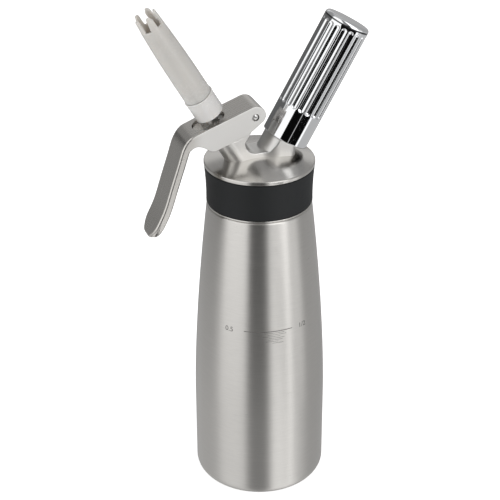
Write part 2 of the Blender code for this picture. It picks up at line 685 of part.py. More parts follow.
# Valve
def make_valve():
    """Stem, seal, nut, rings, bush, spring and thrust collar, all on the nozzle's axis."""
    bore_floor = VALVE_SEAT + CLEARANCE
    profile = [(0, stem_bottom), (STEM_RADIUS, stem_bottom), (STEM_RADIUS, stem_top), (STEM_BORE, stem_top),
               (STEM_BORE, bore_floor), (0, bore_floor)]
    stem = turned("valve_stem", profile, steel, nozzle_axis, SMALL_SIDES)
    hole = rod("cross_hole_cut", CROSS_HOLE_RADIUS, -STEM_RADIUS * 2, STEM_RADIUS * 2, None, nozzle_axis)
    hole.rotation_euler = (QUARTER_TURN, 0, 0)
    hole.location = (0, 0, VALVE_SEAT + CROSS_HOLE_RISE)
    combine(stem, hole)
    tube("valve_seal", SEAL_RADIUS, stem_fit, seal_top - SEAL_THICK, seal_top, rubber, nozzle_axis)
    nut = rod("seal_nut", NUT_RADIUS, nut_bottom, nut_top, steel, nozzle_axis, NUT_SIDES)
    combine(nut, rod("nut_bore_cut", stem_fit, nut_bottom - OVERRUN, nut_top + OVERRUN, None, nozzle_axis))
    ring_middle = stem_fit + O_RING_SECTION / 2
    o_ring("stem_o_ring_lower", ring_middle, lower_ring, nozzle_axis)
    o_ring("stem_o_ring_upper", ring_middle, upper_ring, nozzle_axis)
    flange_low = pocket_floor + CLEARANCE
    flange_out = pocket_radius - CLEARANCE
    bush = [(stem_fit, bush_bottom), (bush_radius, bush_bottom),
            (bush_radius, flange_low), (flange_out, flange_low), (flange_out, bush_top), (stem_fit, bush_top)]
    turned("guide_bush", bush, brass, nozzle_axis, SMALL_SIDES)
    thrust = tube("thrust_collar", thrust_radius, stem_fit, thrust_bottom, crown_centre + THRUST_CROWN * 2,
                  white_plastic, nozzle_axis, MEDIUM_SIDES)
    across = thrust_radius * 2
    crown = rod("crown_round", THRUST_CROWN, -across, across, None, nozzle_axis, CROWN_SIDES)
    crown.rotation_euler = (QUARTER_TURN, 0, 0)
    crown.location = (0, 0, crown_centre)
    combine(thrust, crown, "INTERSECT")


def make_spring():
    """One round wire wound as a helix, with short straight ends."""
    rise = spring_high - spring_low - SPRING_WIRE
    total = round(SPRING_TURNS * SPRING_STEPS)
    points = []
    for step in range(total + 1):
        angle = FULL_TURN * step / SPRING_STEPS
        height = spring_low + SPRING_WIRE / 2 + rise * step / total
        points.append(Vector((spring_radius * math.cos(angle), spring_radius * math.sin(angle), height)))
    for end, other in ((0, 1), (-1, -2)):
        angle = FULL_TURN * (0 if end == 0 else total) / SPRING_STEPS
        along = Vector((-math.sin(angle), math.cos(angle), 0)) * (-1 if end == 0 else 1)
        tail = points[end] + along * SPRING_WIRE
        points.insert(0, tail) if end == 0 else points.append(tail)
    curve = bpy.data.curves.new("valve_spring", "CURVE")
    curve.dimensions = "3D"
    curve.bevel_depth = SPRING_WIRE / 2
    curve.bevel_resolution = 1
    curve.use_fill_caps = True
    line = curve.splines.new("POLY")
    line.points.add(len(points) - 1)
    for spot, point in zip(line.points, points):
        spot.co = (*point, 1)
    curve.materials.append(steel)
    spring = bpy.data.objects.new("valve_spring", curve)
    spring.parent = nozzle_axis
    bpy.context.scene.collection.objects.link(spring)
    apart = []
    for step, first in enumerate(points):
        for second in points[step + SPRING_STEPS // 2:]:
            apart.append((second - first).length - SPRING_WIRE)
    print("valve_spring least gap to itself, mm:", round(min(apart) * 1000, 2))


# Nozzle
def make_adapter():
    """The cuff on the stem's end, with a spigot and its ring for the nozzle."""
    step_height = stem_top + CLEARANCE
    profile = [(stem_fit, cuff_bottom), (cuff_radius - CUFF_EDGE, cuff_bottom),
               (cuff_radius, cuff_bottom + CUFF_EDGE), (cuff_radius, cuff_top), (spigot_radius, cuff_top),
               (spigot_radius, spigot_top), (STEM_BORE, spigot_top), (STEM_BORE, step_height),
               (stem_fit, step_height)]
    turned("nozzle_adapter", profile, white_plastic, nozzle_axis, MEDIUM_SIDES)
    middle = (spigot_radius + nozzle_socket) / 2
    o_ring("adapter_o_ring", middle, (cuff_top + spigot_top) / 2, nozzle_axis)


def make_nozzle():
    """Tapered sleeve whose end is cut into prongs with parallel sides."""
    tip_bore = NOZZLE_TIP_RADIUS - NOZZLE_WALL
    socket_end = spigot_top + CLEARANCE * 2
    throat = nozzle_socket - CLEARANCE
    edge = NOZZLE_EDGE
    profile = [(nozzle_socket, nozzle_bottom), (nozzle_radius, nozzle_bottom),
               (NOZZLE_TIP_RADIUS, nozzle_top - edge), (NOZZLE_TIP_RADIUS - edge, nozzle_top),
               (tip_bore + edge, nozzle_top), (tip_bore, nozzle_top - edge),
               (throat, socket_end + CLEARANCE), (nozzle_socket, socket_end)]
    nozzle = turned("nozzle", profile, white_plastic, nozzle_axis, SLEEVE_SIDES)
    half_gap = math.pi / PRONG_COUNT
    inner = PRONG_WIDTH / 2 / math.sin(half_gap)
    outer = nozzle_radius * 2
    mesh_tool = bmesh.new()
    for prong in range(PRONG_COUNT):
        turn = PRONG_TURN + (2 * prong + 1) * half_gap
        middle = Vector((math.cos(turn), math.sin(turn), 0))
        left = Vector((math.cos(turn + half_gap), math.sin(turn + half_gap), 0))
        right = Vector((math.cos(turn - half_gap), math.sin(turn - half_gap), 0))
        start = middle * inner
        corners = (start, start + right * outer, start + left * outer)
        low = Vector((0, 0, nozzle_top - PRONG_LENGTH))
        high = Vector((0, 0, nozzle_top + OVERRUN))
        sheets = [[mesh_tool.verts.new(corner + lift) for corner in corners] for lift in (low, high)]
        mesh_tool.faces.new(sheets[0])
        mesh_tool.faces.new(sheets[1])
        for step in range(3):
            after = (step + 1) % 3
            mesh_tool.faces.new((sheets[0][step], sheets[0][after], sheets[1][after], sheets[1][step]))
    combine(nozzle, mesh_object("prong_gap_cut", mesh_tool, None, nozzle_axis))


# Charger side
def make_charger():
    """Thin steel bulb with a narrow neck, already pierced."""
    body_low = charger_low + CHARGER_NECK_LENGTH + CHARGER_SHOULDER
    body_high = charger_high - CHARGER_RADIUS
    shoulder = []
    for step in range(EASE_STEPS + 1):
        share = step / EASE_STEPS
        ease = share * share * (3 - 2 * share)
        radius = CHARGER_NECK_RADIUS + (CHARGER_RADIUS - CHARGER_NECK_RADIUS) * ease
        shoulder.append((radius, charger_low + CHARGER_NECK_LENGTH + CHARGER_SHOULDER * share))
    outside = shoulder + arc((0, body_high), CHARGER_RADIUS, 0, 90, EASE_STEPS)[:-1]
    inside = [(radius - CHARGER_WALL, height) for radius, height in shoulder]
    inside += arc((0, body_high), CHARGER_RADIUS - CHARGER_WALL, 0, 90, EASE_STEPS)[:-1]
    edge = CLEARANCE
    profile = [(0, charger_high), *outside[::-1], (CHARGER_NECK_RADIUS, charger_low + edge),
               (CHARGER_NECK_RADIUS - edge, charger_low), (PIERCED_HOLE, charger_low),
               (PIERCED_HOLE, charger_low + CHARGER_WALL),
               (CHARGER_NECK_RADIUS - CHARGER_WALL, charger_low + CHARGER_WALL), *inside,
               (0, charger_high - CHARGER_WALL)]
    turned("charger", profile, bulb_steel, charger_axis, SMALL_SIDES)


def make_charger_holder():
    """Sleeve with a threaded mouth, a flat crown and sunk flutes with round ends."""
    crown_middle = (holder_radius - HOLDER_TOP_ROUND, holder_top - HOLDER_TOP_ROUND)
    crown = arc(crown_middle, HOLDER_TOP_ROUND, 90, 0, ROUND_STEPS)
    profile = [(0, holder_top), *crown, (holder_radius, holder_bottom + HOLDER_LIP),
               (holder_radius - HOLDER_LIP, holder_bottom), (holder_mouth, holder_bottom),
               (holder_mouth, mouth_end), (holder_bore, mouth_end + holder_mouth - holder_bore),
               (holder_bore, holder_bore_end), (0, holder_bore_end)]
    holder = turned("charger_holder", profile, chrome, charger_axis, SLEEVE_SIDES)
    start = PORT_LENGTH + STUB_THREAD_START - STUB_THREAD_PITCH / 2
    ridge = thread_ridge("holder_ridge", holder_mouth + SINK, stub_radius + THREAD_RUNNING_GAP,
                         STUB_THREAD_PITCH, STUB_THREAD_TURNS, start, SMALL_SIDES, charger_axis)
    combine(holder, ridge, "UNION")

    low = holder_bottom + HOLDER_SMOOTH + FLUTE_RADIUS
    high = holder_top - HOLDER_CROWN_LAND - FLUTE_RADIUS
    reach = holder_radius + FLUTE_RADIUS - FLUTE_DEPTH
    flutes = bmesh.new()
    for flute in range(FLUTE_COUNT):
        turn = FULL_TURN * (flute + 0.5) / FLUTE_COUNT
        made = bmesh.ops.create_uvsphere(flutes, u_segments=FINE_STEPS, v_segments=5, radius=FLUTE_RADIUS)
        for vert in made["verts"]:
            vert.co.z += high if vert.co.z > 0 else low
            vert.co.x += reach
        bmesh.ops.rotate(flutes, verts=made["verts"], matrix=Matrix.Rotation(turn, 3, "Z"))
    combine(holder, mesh_object("flute_cut", flutes, None, charger_axis))


def make_piercing_set():
    """Pin, its bush, the charger's washer and the non-return valve."""
    tip = charger_low + PIERCER_REACH
    base_top = piercer_bottom + PIERCER_BASE
    profile = [(0, piercer_bottom), (PIERCER_BASE_RADIUS, piercer_bottom),
               (PIERCER_BASE_RADIUS, base_top), (PIERCER_RADIUS, base_top),
               (PIERCER_RADIUS, tip - PIERCER_TIP), (0, tip)]
    turned("piercing_pin", profile, steel, charger_axis, TINY_SIDES)
    tube("piercing_holder", recess_fit, PIERCER_RADIUS + CLEARANCE, piercing_bush_low, piercing_bush_high,
         brass, charger_axis)
    tube("charger_seal", recess_fit, PIERCED_HOLE, charger_seal_low, charger_seal_high, rubber, charger_axis)
    tube("gas_valve", GAS_VALVE_RADIUS, GAS_BORE / 2, GAS_VALVE_TOP - GAS_VALVE_LENGTH, GAS_VALVE_TOP,
         rubber, charger_axis, TINY_SIDES)


make_bottle()
make_head()
make_collar_and_gasket()
make_lever()
make_valve()
make_spring()
make_adapter()
make_nozzle()
make_charger()
make_charger_holder()
make_piercing_set()
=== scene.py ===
# Whipped cream dispenser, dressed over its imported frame. Metres, +Z up, as in the frame.
import json
import math

import bmesh
import bpy
from mathutils import Matrix, Vector
from types import SimpleNamespace


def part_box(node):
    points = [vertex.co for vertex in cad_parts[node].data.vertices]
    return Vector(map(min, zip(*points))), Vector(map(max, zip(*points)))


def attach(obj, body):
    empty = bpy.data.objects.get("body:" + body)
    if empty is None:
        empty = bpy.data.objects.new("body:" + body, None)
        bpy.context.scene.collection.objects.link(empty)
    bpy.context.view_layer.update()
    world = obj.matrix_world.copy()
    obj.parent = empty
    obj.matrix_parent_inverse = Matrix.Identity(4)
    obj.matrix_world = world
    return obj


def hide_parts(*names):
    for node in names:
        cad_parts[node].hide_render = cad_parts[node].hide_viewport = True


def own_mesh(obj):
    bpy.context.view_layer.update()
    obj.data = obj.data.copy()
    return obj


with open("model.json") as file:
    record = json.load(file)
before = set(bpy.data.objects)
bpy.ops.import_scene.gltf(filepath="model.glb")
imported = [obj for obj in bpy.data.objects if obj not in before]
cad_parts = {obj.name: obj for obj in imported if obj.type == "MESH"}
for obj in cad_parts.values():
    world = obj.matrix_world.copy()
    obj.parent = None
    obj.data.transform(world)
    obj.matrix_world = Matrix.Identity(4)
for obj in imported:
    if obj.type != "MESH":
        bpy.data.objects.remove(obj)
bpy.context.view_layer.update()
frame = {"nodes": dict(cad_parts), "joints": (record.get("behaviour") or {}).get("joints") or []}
nodes = frame["nodes"]
print("frame loaded with", len(nodes), "nodes")


def given(thing, **values):
    # set several values of a thing and hand it back
    for name, value in values.items():
        setattr(thing, name, value)
    return thing


# Node trees
class Wire:
    # one socket of a shader or geometry tree; arithmetic on it adds Math nodes
    def __init__(self, tree, socket=None):
        self.tree = tree
        self.socket = socket

    def node(self, kind, feeds=None, output=0, **settings):
        made = given(self.tree.nodes.new(kind), **settings)
        for name, value in (feeds or {}).items():
            target = made.inputs[name]
            if isinstance(value, Wire):
                self.tree.links.new(value.socket, target)
            else:
                target.default_value = value
        return Wire(self.tree, made.outputs[output])

    def math(self, operation, *others):
        feeds = {0: self}
        for place, other in enumerate(others):
            feeds[place + 1] = other
        return self.node("ShaderNodeMath", feeds, operation=operation)

    def axes(self, names="XYZ"):
        # the numbers in a vector
        parts = self.node("ShaderNodeSeparateXYZ", {0: self}).socket.node
        return [Wire(self.tree, parts.outputs[name]) for name in names]

    def __add__(self, other):
        return self.math("ADD", other)

    def __sub__(self, other):
        return self.math("SUBTRACT", other)

    def __rsub__(self, other):
        return (self * -1.0) + other

    def __mul__(self, other):
        return self.math("MULTIPLY", other)

    def __truediv__(self, other):
        return self.math("DIVIDE", other)

    def __pow__(self, other):
        return self.math("POWER", other)

    __radd__, __rmul__ = __add__, __mul__


def rise(value, low, high):
    # 0 below low, 1 above high, smooth between
    feeds = {"Value": value, "From Min": low, "From Max": high}
    return value.node("ShaderNodeMapRange", feeds, interpolation_type="SMOOTHSTEP")


def band(value, low, high, soft):
    return rise(value, low - soft, low + soft) * (1.0 - rise(value, high - soft, high + soft))


def mixColours(share, first, second):
    feeds = {0: share, 6: first, 7: second}
    return share.node("ShaderNodeMix", feeds, 2, data_type="RGBA")


def toned(share, colour, low, high):
    # a colour that goes from low to high times itself
    first, second = (tuple(min(c * level, 1.0) for c in colour) + (1.0,) for level in (low, high))
    return mixColours(share, first, second)


def swung(pattern, amount):
    # a pattern from 0 to 1 as a swing round 0
    return (pattern - 0.5) * amount


def newLook(name):
    look = bpy.data.materials.new(name)
    look.use_nodes = True
    look.node_tree.nodes.clear()
    return look, Wire(look.node_tree)


def finished(look, wire, values):
    # a Principled surface with these socket values
    shader = wire.node("ShaderNodeBsdfPrincipled", values)
    end = wire.tree.nodes.new("ShaderNodeOutputMaterial")
    wire.tree.links.new(shader.socket, end.inputs["Surface"])
    return look


def objectPoint(wire):
    return wire.node("ShaderNodeTexCoord", None, 3)


def noise(wire, place, detail, roughness):
    feeds = {"Vector": place, "Scale": 1.0, "Detail": detail, "Roughness": roughness}
    return wire.node("ShaderNodeTexNoise", feeds)


def grain(wire, stretch, detail, roughness):
    # noise on Object coordinates; stretch is one number, or three for X, Y and Z
    if isinstance(stretch, float):
        stretch = (stretch, stretch, stretch)
    place = wire.node("ShaderNodeMapping", {"Vector": objectPoint(wire), "Scale": stretch})
    return noise(wire, place, detail, roughness)


def bumped(wire, height, strength, depth):
    return wire.node("ShaderNodeBump", {"Height": height, "Strength": strength, "Distance": depth})


# Finishes
metalFinish = dict(
    bottleColour=(0.635, 0.62, 0.595),
    bottleRoughness=0.30,
    bottleSpread=0.72,  # how far highlights stretch across the brushing
    coverColour=(0.60, 0.585, 0.56),
    coverRoughness=0.22,
    coverSpread=0.60,
    castColour=(0.74, 0.73, 0.71),
    castRoughness=0.38,
    leverColour=(0.62, 0.60, 0.57),
    leverRoughness=0.27,
    # the cheeks' colour is lighter than the plate's: painted light on the lever's side faces
    cheekColour=(0.74, 0.73, 0.71),
    cheekRoughness=0.40,
    chromeColour=(0.86, 0.87, 0.885),
    chromeRoughness=0.035,
    hairline=1500.0,  # brushing lines per metre
    swingEnds=(0.80, 1.20),  # darkest and lightest a brushed colour can be, beside its own
    cheekEdge=(0.0003, 0.00004),  # where the rougher cheeks, painted lighter as painted light, begin, in from the lever's sides
    cheekFade=0.008,
    acrossTurn=0.25,  # quarter of a circle: highlights run across the lines
)
grainDepth = {"brushed": 0.00004, "turned": 0.00003, "moulded": 0.00006, "plastic": 0.00005}


def read(sizes):
    # a dictionary with its values as names
    return SimpleNamespace(**sizes)


metal, depth = read(metalFinish), read(grainDepth)


def steelLook(name, colour, roughness, stretch, bump, swing=0.10, spread=0.0, spreadTurn=0.0, cloud=0.4):
    # steel with fine lines: stretch says how often the pattern changes along X, Y and Z
    look, wire = newLook(name)
    lines = grain(wire, stretch, 4.0, 0.65)
    broad = grain(wire, tuple(s * 0.12 for s in stretch), 2.0, 0.5)
    tone = swung(lines, swing) + (broad - 0.5) * swing * cloud + 0.5
    return finished(look, wire, {
        "Base Color": toned(tone, colour, *metal.swingEnds),
        "Metallic": 1.0,
        "Roughness": swung(lines, 0.10) + swung(broad, 0.04) + roughness,
        "Anisotropic": spread,
        "Anisotropic Rotation": spreadTurn,
        "Normal": bumped(wire, lines, bump, depth.brushed),
    })


def leverLook(name, lines, halfWidth, cheekEnd):
    # brushed along the plate; the flat cheeks rougher, and painted a lighter colour as painted light on
    # the lever's sides
    look, wire = newLook(name)
    x, y = objectPoint(wire).axes("XY")
    begin, full = (halfWidth - edge for edge in metal.cheekEdge)
    side = rise(y.math("ABSOLUTE"), begin, full) * rise(x, cheekEnd - metal.cheekFade, cheekEnd)
    fine = grain(wire, (30.0, lines, 30.0), 4.0, 0.65)
    blast = grain(wire, 1400.0, 3.0, 0.6)
    smear = grain(wire, (70.0, 120.0, 70.0), 2.0, 0.5)
    shade = swung(fine, 0.16) * (1.0 - side) + swung(smear, 0.14) + swung(blast, 0.05) + 0.5
    # the second colour is painted light: the side faces painted lighter than the plate
    colours = (metal.leverColour, metal.cheekColour)
    shaded = [toned(shade, colour, *metal.swingEnds) for colour in colours]
    extra = metal.cheekRoughness - metal.leverRoughness
    return finished(look, wire, {
        "Base Color": mixColours(side, *shaded),
        "Metallic": 1.0,
        "Roughness": swung(fine, 0.08) + side * extra + metal.leverRoughness,
        "Normal": bumped(wire, fine, 0.05, depth.turned),
    })


def turnedLook(name, colour, roughness, lines, bump, swing, spread):
    # steel turned on a lathe: rings round the object's Z axis, highlights fanned across them
    look, wire = newLook(name)
    x, y = objectPoint(wire).axes("XY")
    radius = (x * x + y * y + 1e-8).math("SQRT")
    around = 2.5
    rings = wire.node("ShaderNodeCombineXYZ", {
        "X": radius * lines, "Y": x / radius * around, "Z": y / radius * around})
    fine = noise(wire, rings, 4.0, 0.65)
    smear = grain(wire, 160.0, 3.0, 0.5)
    tone = swung(fine, swing) + (smear - 0.5) * swing * 0.5 + 0.5
    return finished(look, wire, {
        "Base Color": toned(tone, colour, *metal.swingEnds),
        "Metallic": 1.0,
        "Roughness": swung(fine, 0.10) + swung(smear, 0.06) + roughness,
        "Anisotropic": spread,
        "Anisotropic Rotation": metal.acrossTurn,
        "Normal": bumped(wire, fine, bump, depth.turned),
    })


def mirrorLook(name, colour, roughness):
    # plating: clean, with faint wiping marks in the gloss
    look, wire = newLook(name)
    marks = grain(wire, 90.0, 4.0, 0.6)
    return finished(look, wire, {
        "Base Color": toned(marks, colour, 0.985, 1.0),
        "Metallic": 1.0,
        "Roughness": rise(marks, 0.45, 0.75) * 0.03 + roughness,
    })


def rubberLook(name, colour, roughness, fineness=2600.0, strength=0.25, gloss=0.5):
    look, wire = newLook(name)
    fine = grain(wire, fineness, 3.0, 0.7)
    dust = grain(wire, 60.0, 3.0, 0.55)
    return finished(look, wire, {
        "Base Color": toned(dust, colour, 0.85, 1.25),
        "Roughness": swung(fine, 0.12) + swung(dust, 0.10) + roughness,
        "Specular IOR Level": gloss,
        "Normal": bumped(wire, fine, strength, depth.moulded),
    })


def plasticLook(name, colour, roughness, reach, coat):
    # milky moulded plastic that lets light in as deep as reach
    look, wire = newLook(name)
    cloud = grain(wire, 45.0, 3.0, 0.5)
    skin = grain(wire, 1500.0, 3.0, 0.6)
    return finished(look, wire, {
        "Base Color": toned(cloud, colour, 0.97, 1.0),
        "Roughness": swung(skin, 0.10) + swung(cloud, 0.08) + roughness,
        "Subsurface Weight": 1.0,
        "Subsurface Radius": (reach, reach * 0.92, reach * 0.85),
        "Subsurface Scale": 1.0,
        "Coat Weight": coat,
        "Coat Roughness": 0.15,
        "Normal": bumped(wire, skin, 0.06, depth.plastic),
    })


hair = metal.hairline
bottleSteel = steelLook("bottle_brushed_steel", metal.bottleColour, metal.bottleRoughness,
                        (120.0, 120.0, hair), 0.30, 0.46, metal.bottleSpread, metal.acrossTurn, 0.12)
coverSteel = turnedLook("cover_turned_steel", metal.coverColour, metal.coverRoughness,
                        1300.0, 0.12, 0.30, metal.coverSpread)
castSteel = steelLook("cast_satin_steel", metal.castColour, metal.castRoughness,
                      (700.0, 700.0, 700.0), 0.10, swing=0.10)
leverSteel = leverLook("lever_satin_steel", 1900.0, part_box("lever")[1].y, -0.037)
innerSteel = steelLook("machined_steel", (0.58, 0.57, 0.55), 0.30, (300.0, 300.0, 2200.0), 0.12)
chrome = mirrorLook("chrome_plate", metal.chromeColour, metal.chromeRoughness)
pinSteel = mirrorLook("polished_pin", (0.66, 0.655, 0.64), 0.16)
brass = steelLook("turned_brass", (0.74, 0.53, 0.26), 0.28, (300.0, 300.0, 2200.0), 0.12)
bulbSteel = steelLook("drawn_bulb_steel", (0.62, 0.62, 0.61), 0.26, (260.0, 260.0, 1500.0), 0.10)
silicone = rubberLook("black_silicone", (0.0060, 0.0070, 0.0078), 0.58, gloss=0.34)
rubber = rubberLook("seal_rubber", (0.030, 0.030, 0.030), 0.62)
# two copies of one milky white plastic, both painted darker than its own white as painted shade, the
# cuff's copy less dark than the nozzle's
nozzlePlastic = plasticLook("milky_plastic", (0.505, 0.49, 0.466), 0.26, 0.0045, 1.0)
cuffPlastic = plasticLook("milky_plastic_painted_lighter", (0.60, 0.59, 0.577), 0.26, 0.0020, 0.8)
etched = rubberLook("etched_mark", (0.10, 0.095, 0.09), 0.55, 1200.0, 0.1)
print("finishes made")


# Axes read from the frame
def jointNamed(name):
    return next(joint for joint in frame["joints"] if joint["name"] == name)


def axisFrame(foot, way):
    # local Z runs along way from foot, local Y stays the row's Y
    up = Vector(way).normalized()
    side = Vector((0.0, 1.0, 0.0))
    turned = Matrix((side.cross(up), side, up)).transposed().to_4x4()
    turned.translation = Vector(foot)
    return turned


def span(node, place):
    # lowest and highest point of a CAD node along an axis, and its largest radius
    back = place.inverted()
    spots = [back @ vert.co for vert in nodes[node].data.vertices]
    heights = [spot.z for spot in spots]
    return min(heights), max(heights), max(math.hypot(spot.x, spot.y) for spot in spots)


upright = Matrix.Identity(4)
sink = 0.0004  # how far a joined shape reaches into its neighbour
smallEdge = 0.0003  # chamfers and edges too small for a size of their own
beyond = 0.02  # how far a cut reaches past what it cuts
roundSides = 256  # corners round the large turned pieces
sleeveJoint = jointNamed("holder_turn")
chargerPlace = axisFrame(sleeveJoint["pos_m"], sleeveJoint["axis"])
nozzleWay = Vector(jointNamed("nozzle_pull")["axis"])
adapterMiddle = sum(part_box("nozzle_adapter"), Vector()) / 2
nozzlePlace = axisFrame(adapterMiddle - nozzleWay * (adapterMiddle.x / nozzleWay.x), nozzleWay)
pinPoint = Vector(jointNamed("lever_pull")["pos_m"])
pinPlace = Matrix.Translation(pinPoint) @ Matrix.Rotation(math.pi / 2, 4, "X")


# Mesh helpers
def arc(centre, radius, start, stop, steps):
    # points on a round corner, angles in degrees
    angles = [math.radians(start + (stop - start) * step / steps) for step in range(steps + 1)]
    return [(centre[0] + radius * math.cos(a), centre[1] + radius * math.sin(a)) for a in angles]


def softened(points, radii, steps=5, closed=True):
    # the same outline with round corners: radii gives one radius for each point
    made = []
    count = len(points)
    for place, point in enumerate(points):
        radius = radii[place]
        here = Vector(point)
        if radius <= 0 or (not closed and place in (0, count - 1)):
            made.append(tuple(here))
            continue
        back = Vector(points[place - 1]) - here
        ahead = Vector(points[(place + 1) % count]) - here
        half = back.angle(ahead) / 2
        reach = min(radius / math.tan(half), back.length * 0.49, ahead.length * 0.49)
        radius = reach * math.tan(half)
        first = here + back.normalized() * reach
        last = here + ahead.normalized() * reach
        middle = here + (back.normalized() + ahead.normalized()).normalized() * (radius / math.sin(half))
        start, stop = first - middle, last - middle
        turn = start.angle_signed(stop) * -1
        for step in range(steps + 1):
            angle = turn * step / steps
            c, s = math.cos(angle), math.sin(angle)
            made.append((middle.x + start.x * c - start.y * s, middle.y + start.x * s + start.y * c))
    return made


def latheMesh(profile, sides, matrix=upright):
    # (radius, height) points turned about the axis; ends on the axis or is a closed ring
    mesh = bmesh.new()
    rings = []
    for radius, height in profile:
        corners = sides if radius > 1e-7 else 1
        turn = [math.tau * step / sides for step in range(corners)]
        rings.append([mesh.verts.new((radius * math.cos(a), radius * math.sin(a), height)) for a in turn])
    follow = rings[1:] if profile[0][0] <= 1e-7 else rings[1:] + rings[:1]
    for low, high in zip(rings, follow):
        for step in range(sides):
            after = step + 1
            spots = [low[place % len(low)] for place in (step, after)]
            spots += [high[place % len(high)] for place in (after, step)]
            face = list(dict.fromkeys(spots))
            if len(face) > 2:
                mesh.faces.new(face)
    bmesh.ops.transform(mesh, matrix=matrix, verts=mesh.verts)
    return mesh


def joinLoops(mesh, *loops):
    # quads between neighbouring closed loops of corners, and a face on the first and the last
    for one, two in zip(loops, loops[1:]):
        for corner in range(len(one)):
            after = (corner + 1) % len(one)
            mesh.faces.new((one[corner], one[after], two[after], two[corner]))
    mesh.faces.new(loops[0])
    mesh.faces.new(loops[-1])


def slabMesh(outline, low, high, place=upright, flat=False):
    # an outline of (x, z) points pushed along Y, or with flat of (x, y) points pushed along Z
    mesh = bmesh.new()
    sheets = []
    for level in (low, high):
        spots = [(u, v, level) if flat else (u, level, v) for u, v in outline]
        sheets.append([mesh.verts.new(spot) for spot in spots])
    joinLoops(mesh, *sheets)
    bmesh.ops.transform(mesh, matrix=place, verts=mesh.verts)
    return mesh


def ridgeMesh(root, crest, pitch, turns, start, sides, place=upright):
    # one helical thread ridge with slanted flanks
    base, top = pitch * 0.36 / 2, pitch * 0.20 / 2
    section = ((root, -base), (crest, -top), (crest, top), (root, base))
    mesh = bmesh.new()
    rings = []
    for step in range(round(turns * sides) + 1):
        angle = math.tau * step / sides
        lift = start + pitch * step / sides
        spots = [(r * math.cos(angle), r * math.sin(angle), lift + h) for r, h in section]
        rings.append([mesh.verts.new(spot) for spot in spots])
    joinLoops(mesh, *rings)
    bmesh.ops.transform(mesh, matrix=place, verts=mesh.verts)
    return mesh


def linked(name, data):
    made = bpy.data.objects.new(name, data)
    bpy.context.scene.collection.objects.link(made)
    return made


def asObject(name, mesh):
    bmesh.ops.recalc_face_normals(mesh, faces=mesh.faces)
    data = bpy.data.meshes.new(name)
    mesh.to_mesh(data)
    mesh.free()
    return linked(name, data)


def flattened(piece):
    # the mesh that its modifiers or its text give
    bpy.context.view_layer.update()
    return bpy.data.meshes.new_from_object(piece.evaluated_get(bpy.context.evaluated_depsgraph_get()))


def settle(piece):
    # keep the result of the modifiers as a plain mesh
    data = flattened(piece)
    piece.modifiers.clear()
    piece.data = data
    return piece


def modify(piece, kind, **values):
    given(piece.modifiers.new(kind.lower(), kind), **values)
    return piece


def combine(piece, mesh, operation="DIFFERENCE"):
    tool = asObject("tool", mesh)
    settle(modify(piece, "BOOLEAN", operation=operation, solver="EXACT", object=tool))
    bpy.data.objects.remove(tool)
    return piece


def rounded(piece, voxel, passes):
    # soft cast edges: remeshed finely, then relaxed
    modify(piece, "REMESH", mode="VOXEL", voxel_size=voxel)
    return settle(modify(piece, "SMOOTH", factor=0.5, iterations=passes))


def smoothed(piece, sharp):
    piece.data.shade_smooth()
    piece.data.set_sharp_from_angle(angle=math.radians(sharp))


def evened(piece):
    # flat faces stay flat beside their rounded edges
    smoothed(piece, 40.0)
    return settle(modify(piece, "WEIGHTED_NORMAL", keep_sharp=True, weight=80))


def dress(piece, body, look, slot, *stoodFor, sharp=32.0):
    # shade, paint, ride on a body and stand for CAD nodes
    piece.data.materials.clear()
    piece.data.materials.append(look)
    if sharp is not None:
        smoothed(piece, sharp)
    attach(piece, body)
    for node in stoodFor:
        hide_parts(node)
    print("  ", piece.name, len(piece.data.polygons), "faces")
    return piece


# Bottle
bottleSizes = dict(
    wall=0.0012,
    footCorner=0.0060,
    shoulderHeight=0.1876,
    shoulderRadius=0.0310,
    shoulderCorner=0.0012,
    taperStartShare=0.31,
    taperPower=1.6,
    neckRadius=0.0244,
    neckWall=0.0014,
    threadHeight=0.0011,
    threadPitch=0.0035,
    threadTurns=1.5,
    threadStart=0.0064,
)
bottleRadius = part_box("bottle")[1].x
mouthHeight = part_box("bottle")[1].z


def wallRadius(height):
    s = read(bottleSizes)
    start = s.shoulderHeight * s.taperStartShare
    climb = max(height - start, 0) / (s.shoulderHeight - start)
    return bottleRadius - (bottleRadius - s.shoulderRadius) * climb ** s.taperPower


def makeBottle():
    s = read(bottleSizes)
    corner, lip = s.footCorner, s.shoulderCorner
    foot = arc((bottleRadius - corner, corner), corner, -90, 0, 14)
    top = s.shoulderHeight - lip
    heights = [corner + (top - corner) * step / 64 for step in range(1, 65)]
    outside = [(wallRadius(height), height) for height in heights]
    shoulder = arc((wallRadius(top) - lip, top), lip, 0, 90, 6)[1:]
    bore = s.neckRadius - s.neckWall
    edge = s.neckWall / 2
    rim = arc((bore + edge, mouthHeight - edge), edge, 0, 180, 10)
    under = s.shoulderHeight - s.neckWall
    inside = [(wallRadius(height) - s.wall, min(height, under)) for height in heights[::-2]]
    floor = arc((bottleRadius - corner, corner), corner - s.wall, 0, -90, 8)
    profile = [(0, 0), *foot, *outside, *shoulder, (s.neckRadius, s.shoulderHeight), *rim,
               (bore, under), *inside, *floor, (0, s.wall)]
    bottle = asObject("bottle_shell", latheMesh(profile, roundSides))
    crest = s.neckRadius + s.threadHeight
    ridge = ridgeMesh(s.neckRadius - sink, crest, s.threadPitch, s.threadTurns,
                      s.shoulderHeight + s.threadStart, 96)
    combine(bottle, ridge, "UNION")
    dress(bottle, "bottle", bottleSteel, "brushed_steel", "bottle")


# Filling mark: a line, short hatching under it and plain figures
markSizes = dict(
    height=0.1188,
    lineFrom=-35.8,
    lineTo=9.8,
    line=0.00045,
    proud=0.00004,
    hatchLines=7,
    hatchDrop=0.0011,
    hatchFrom=-17.0,
    hatchTo=2.0,
    figure=0.0044,
    figurePlaces=((-50.0, "0.5"), (21.0, "1/2")),
)


def onWall(angle, height, proud):
    # a point on the bottle's wall; the angle runs from -Y toward +X
    turn = math.radians(angle)
    radius = wallRadius(height) + proud
    return Vector((radius * math.sin(turn), -radius * math.cos(turn), height))


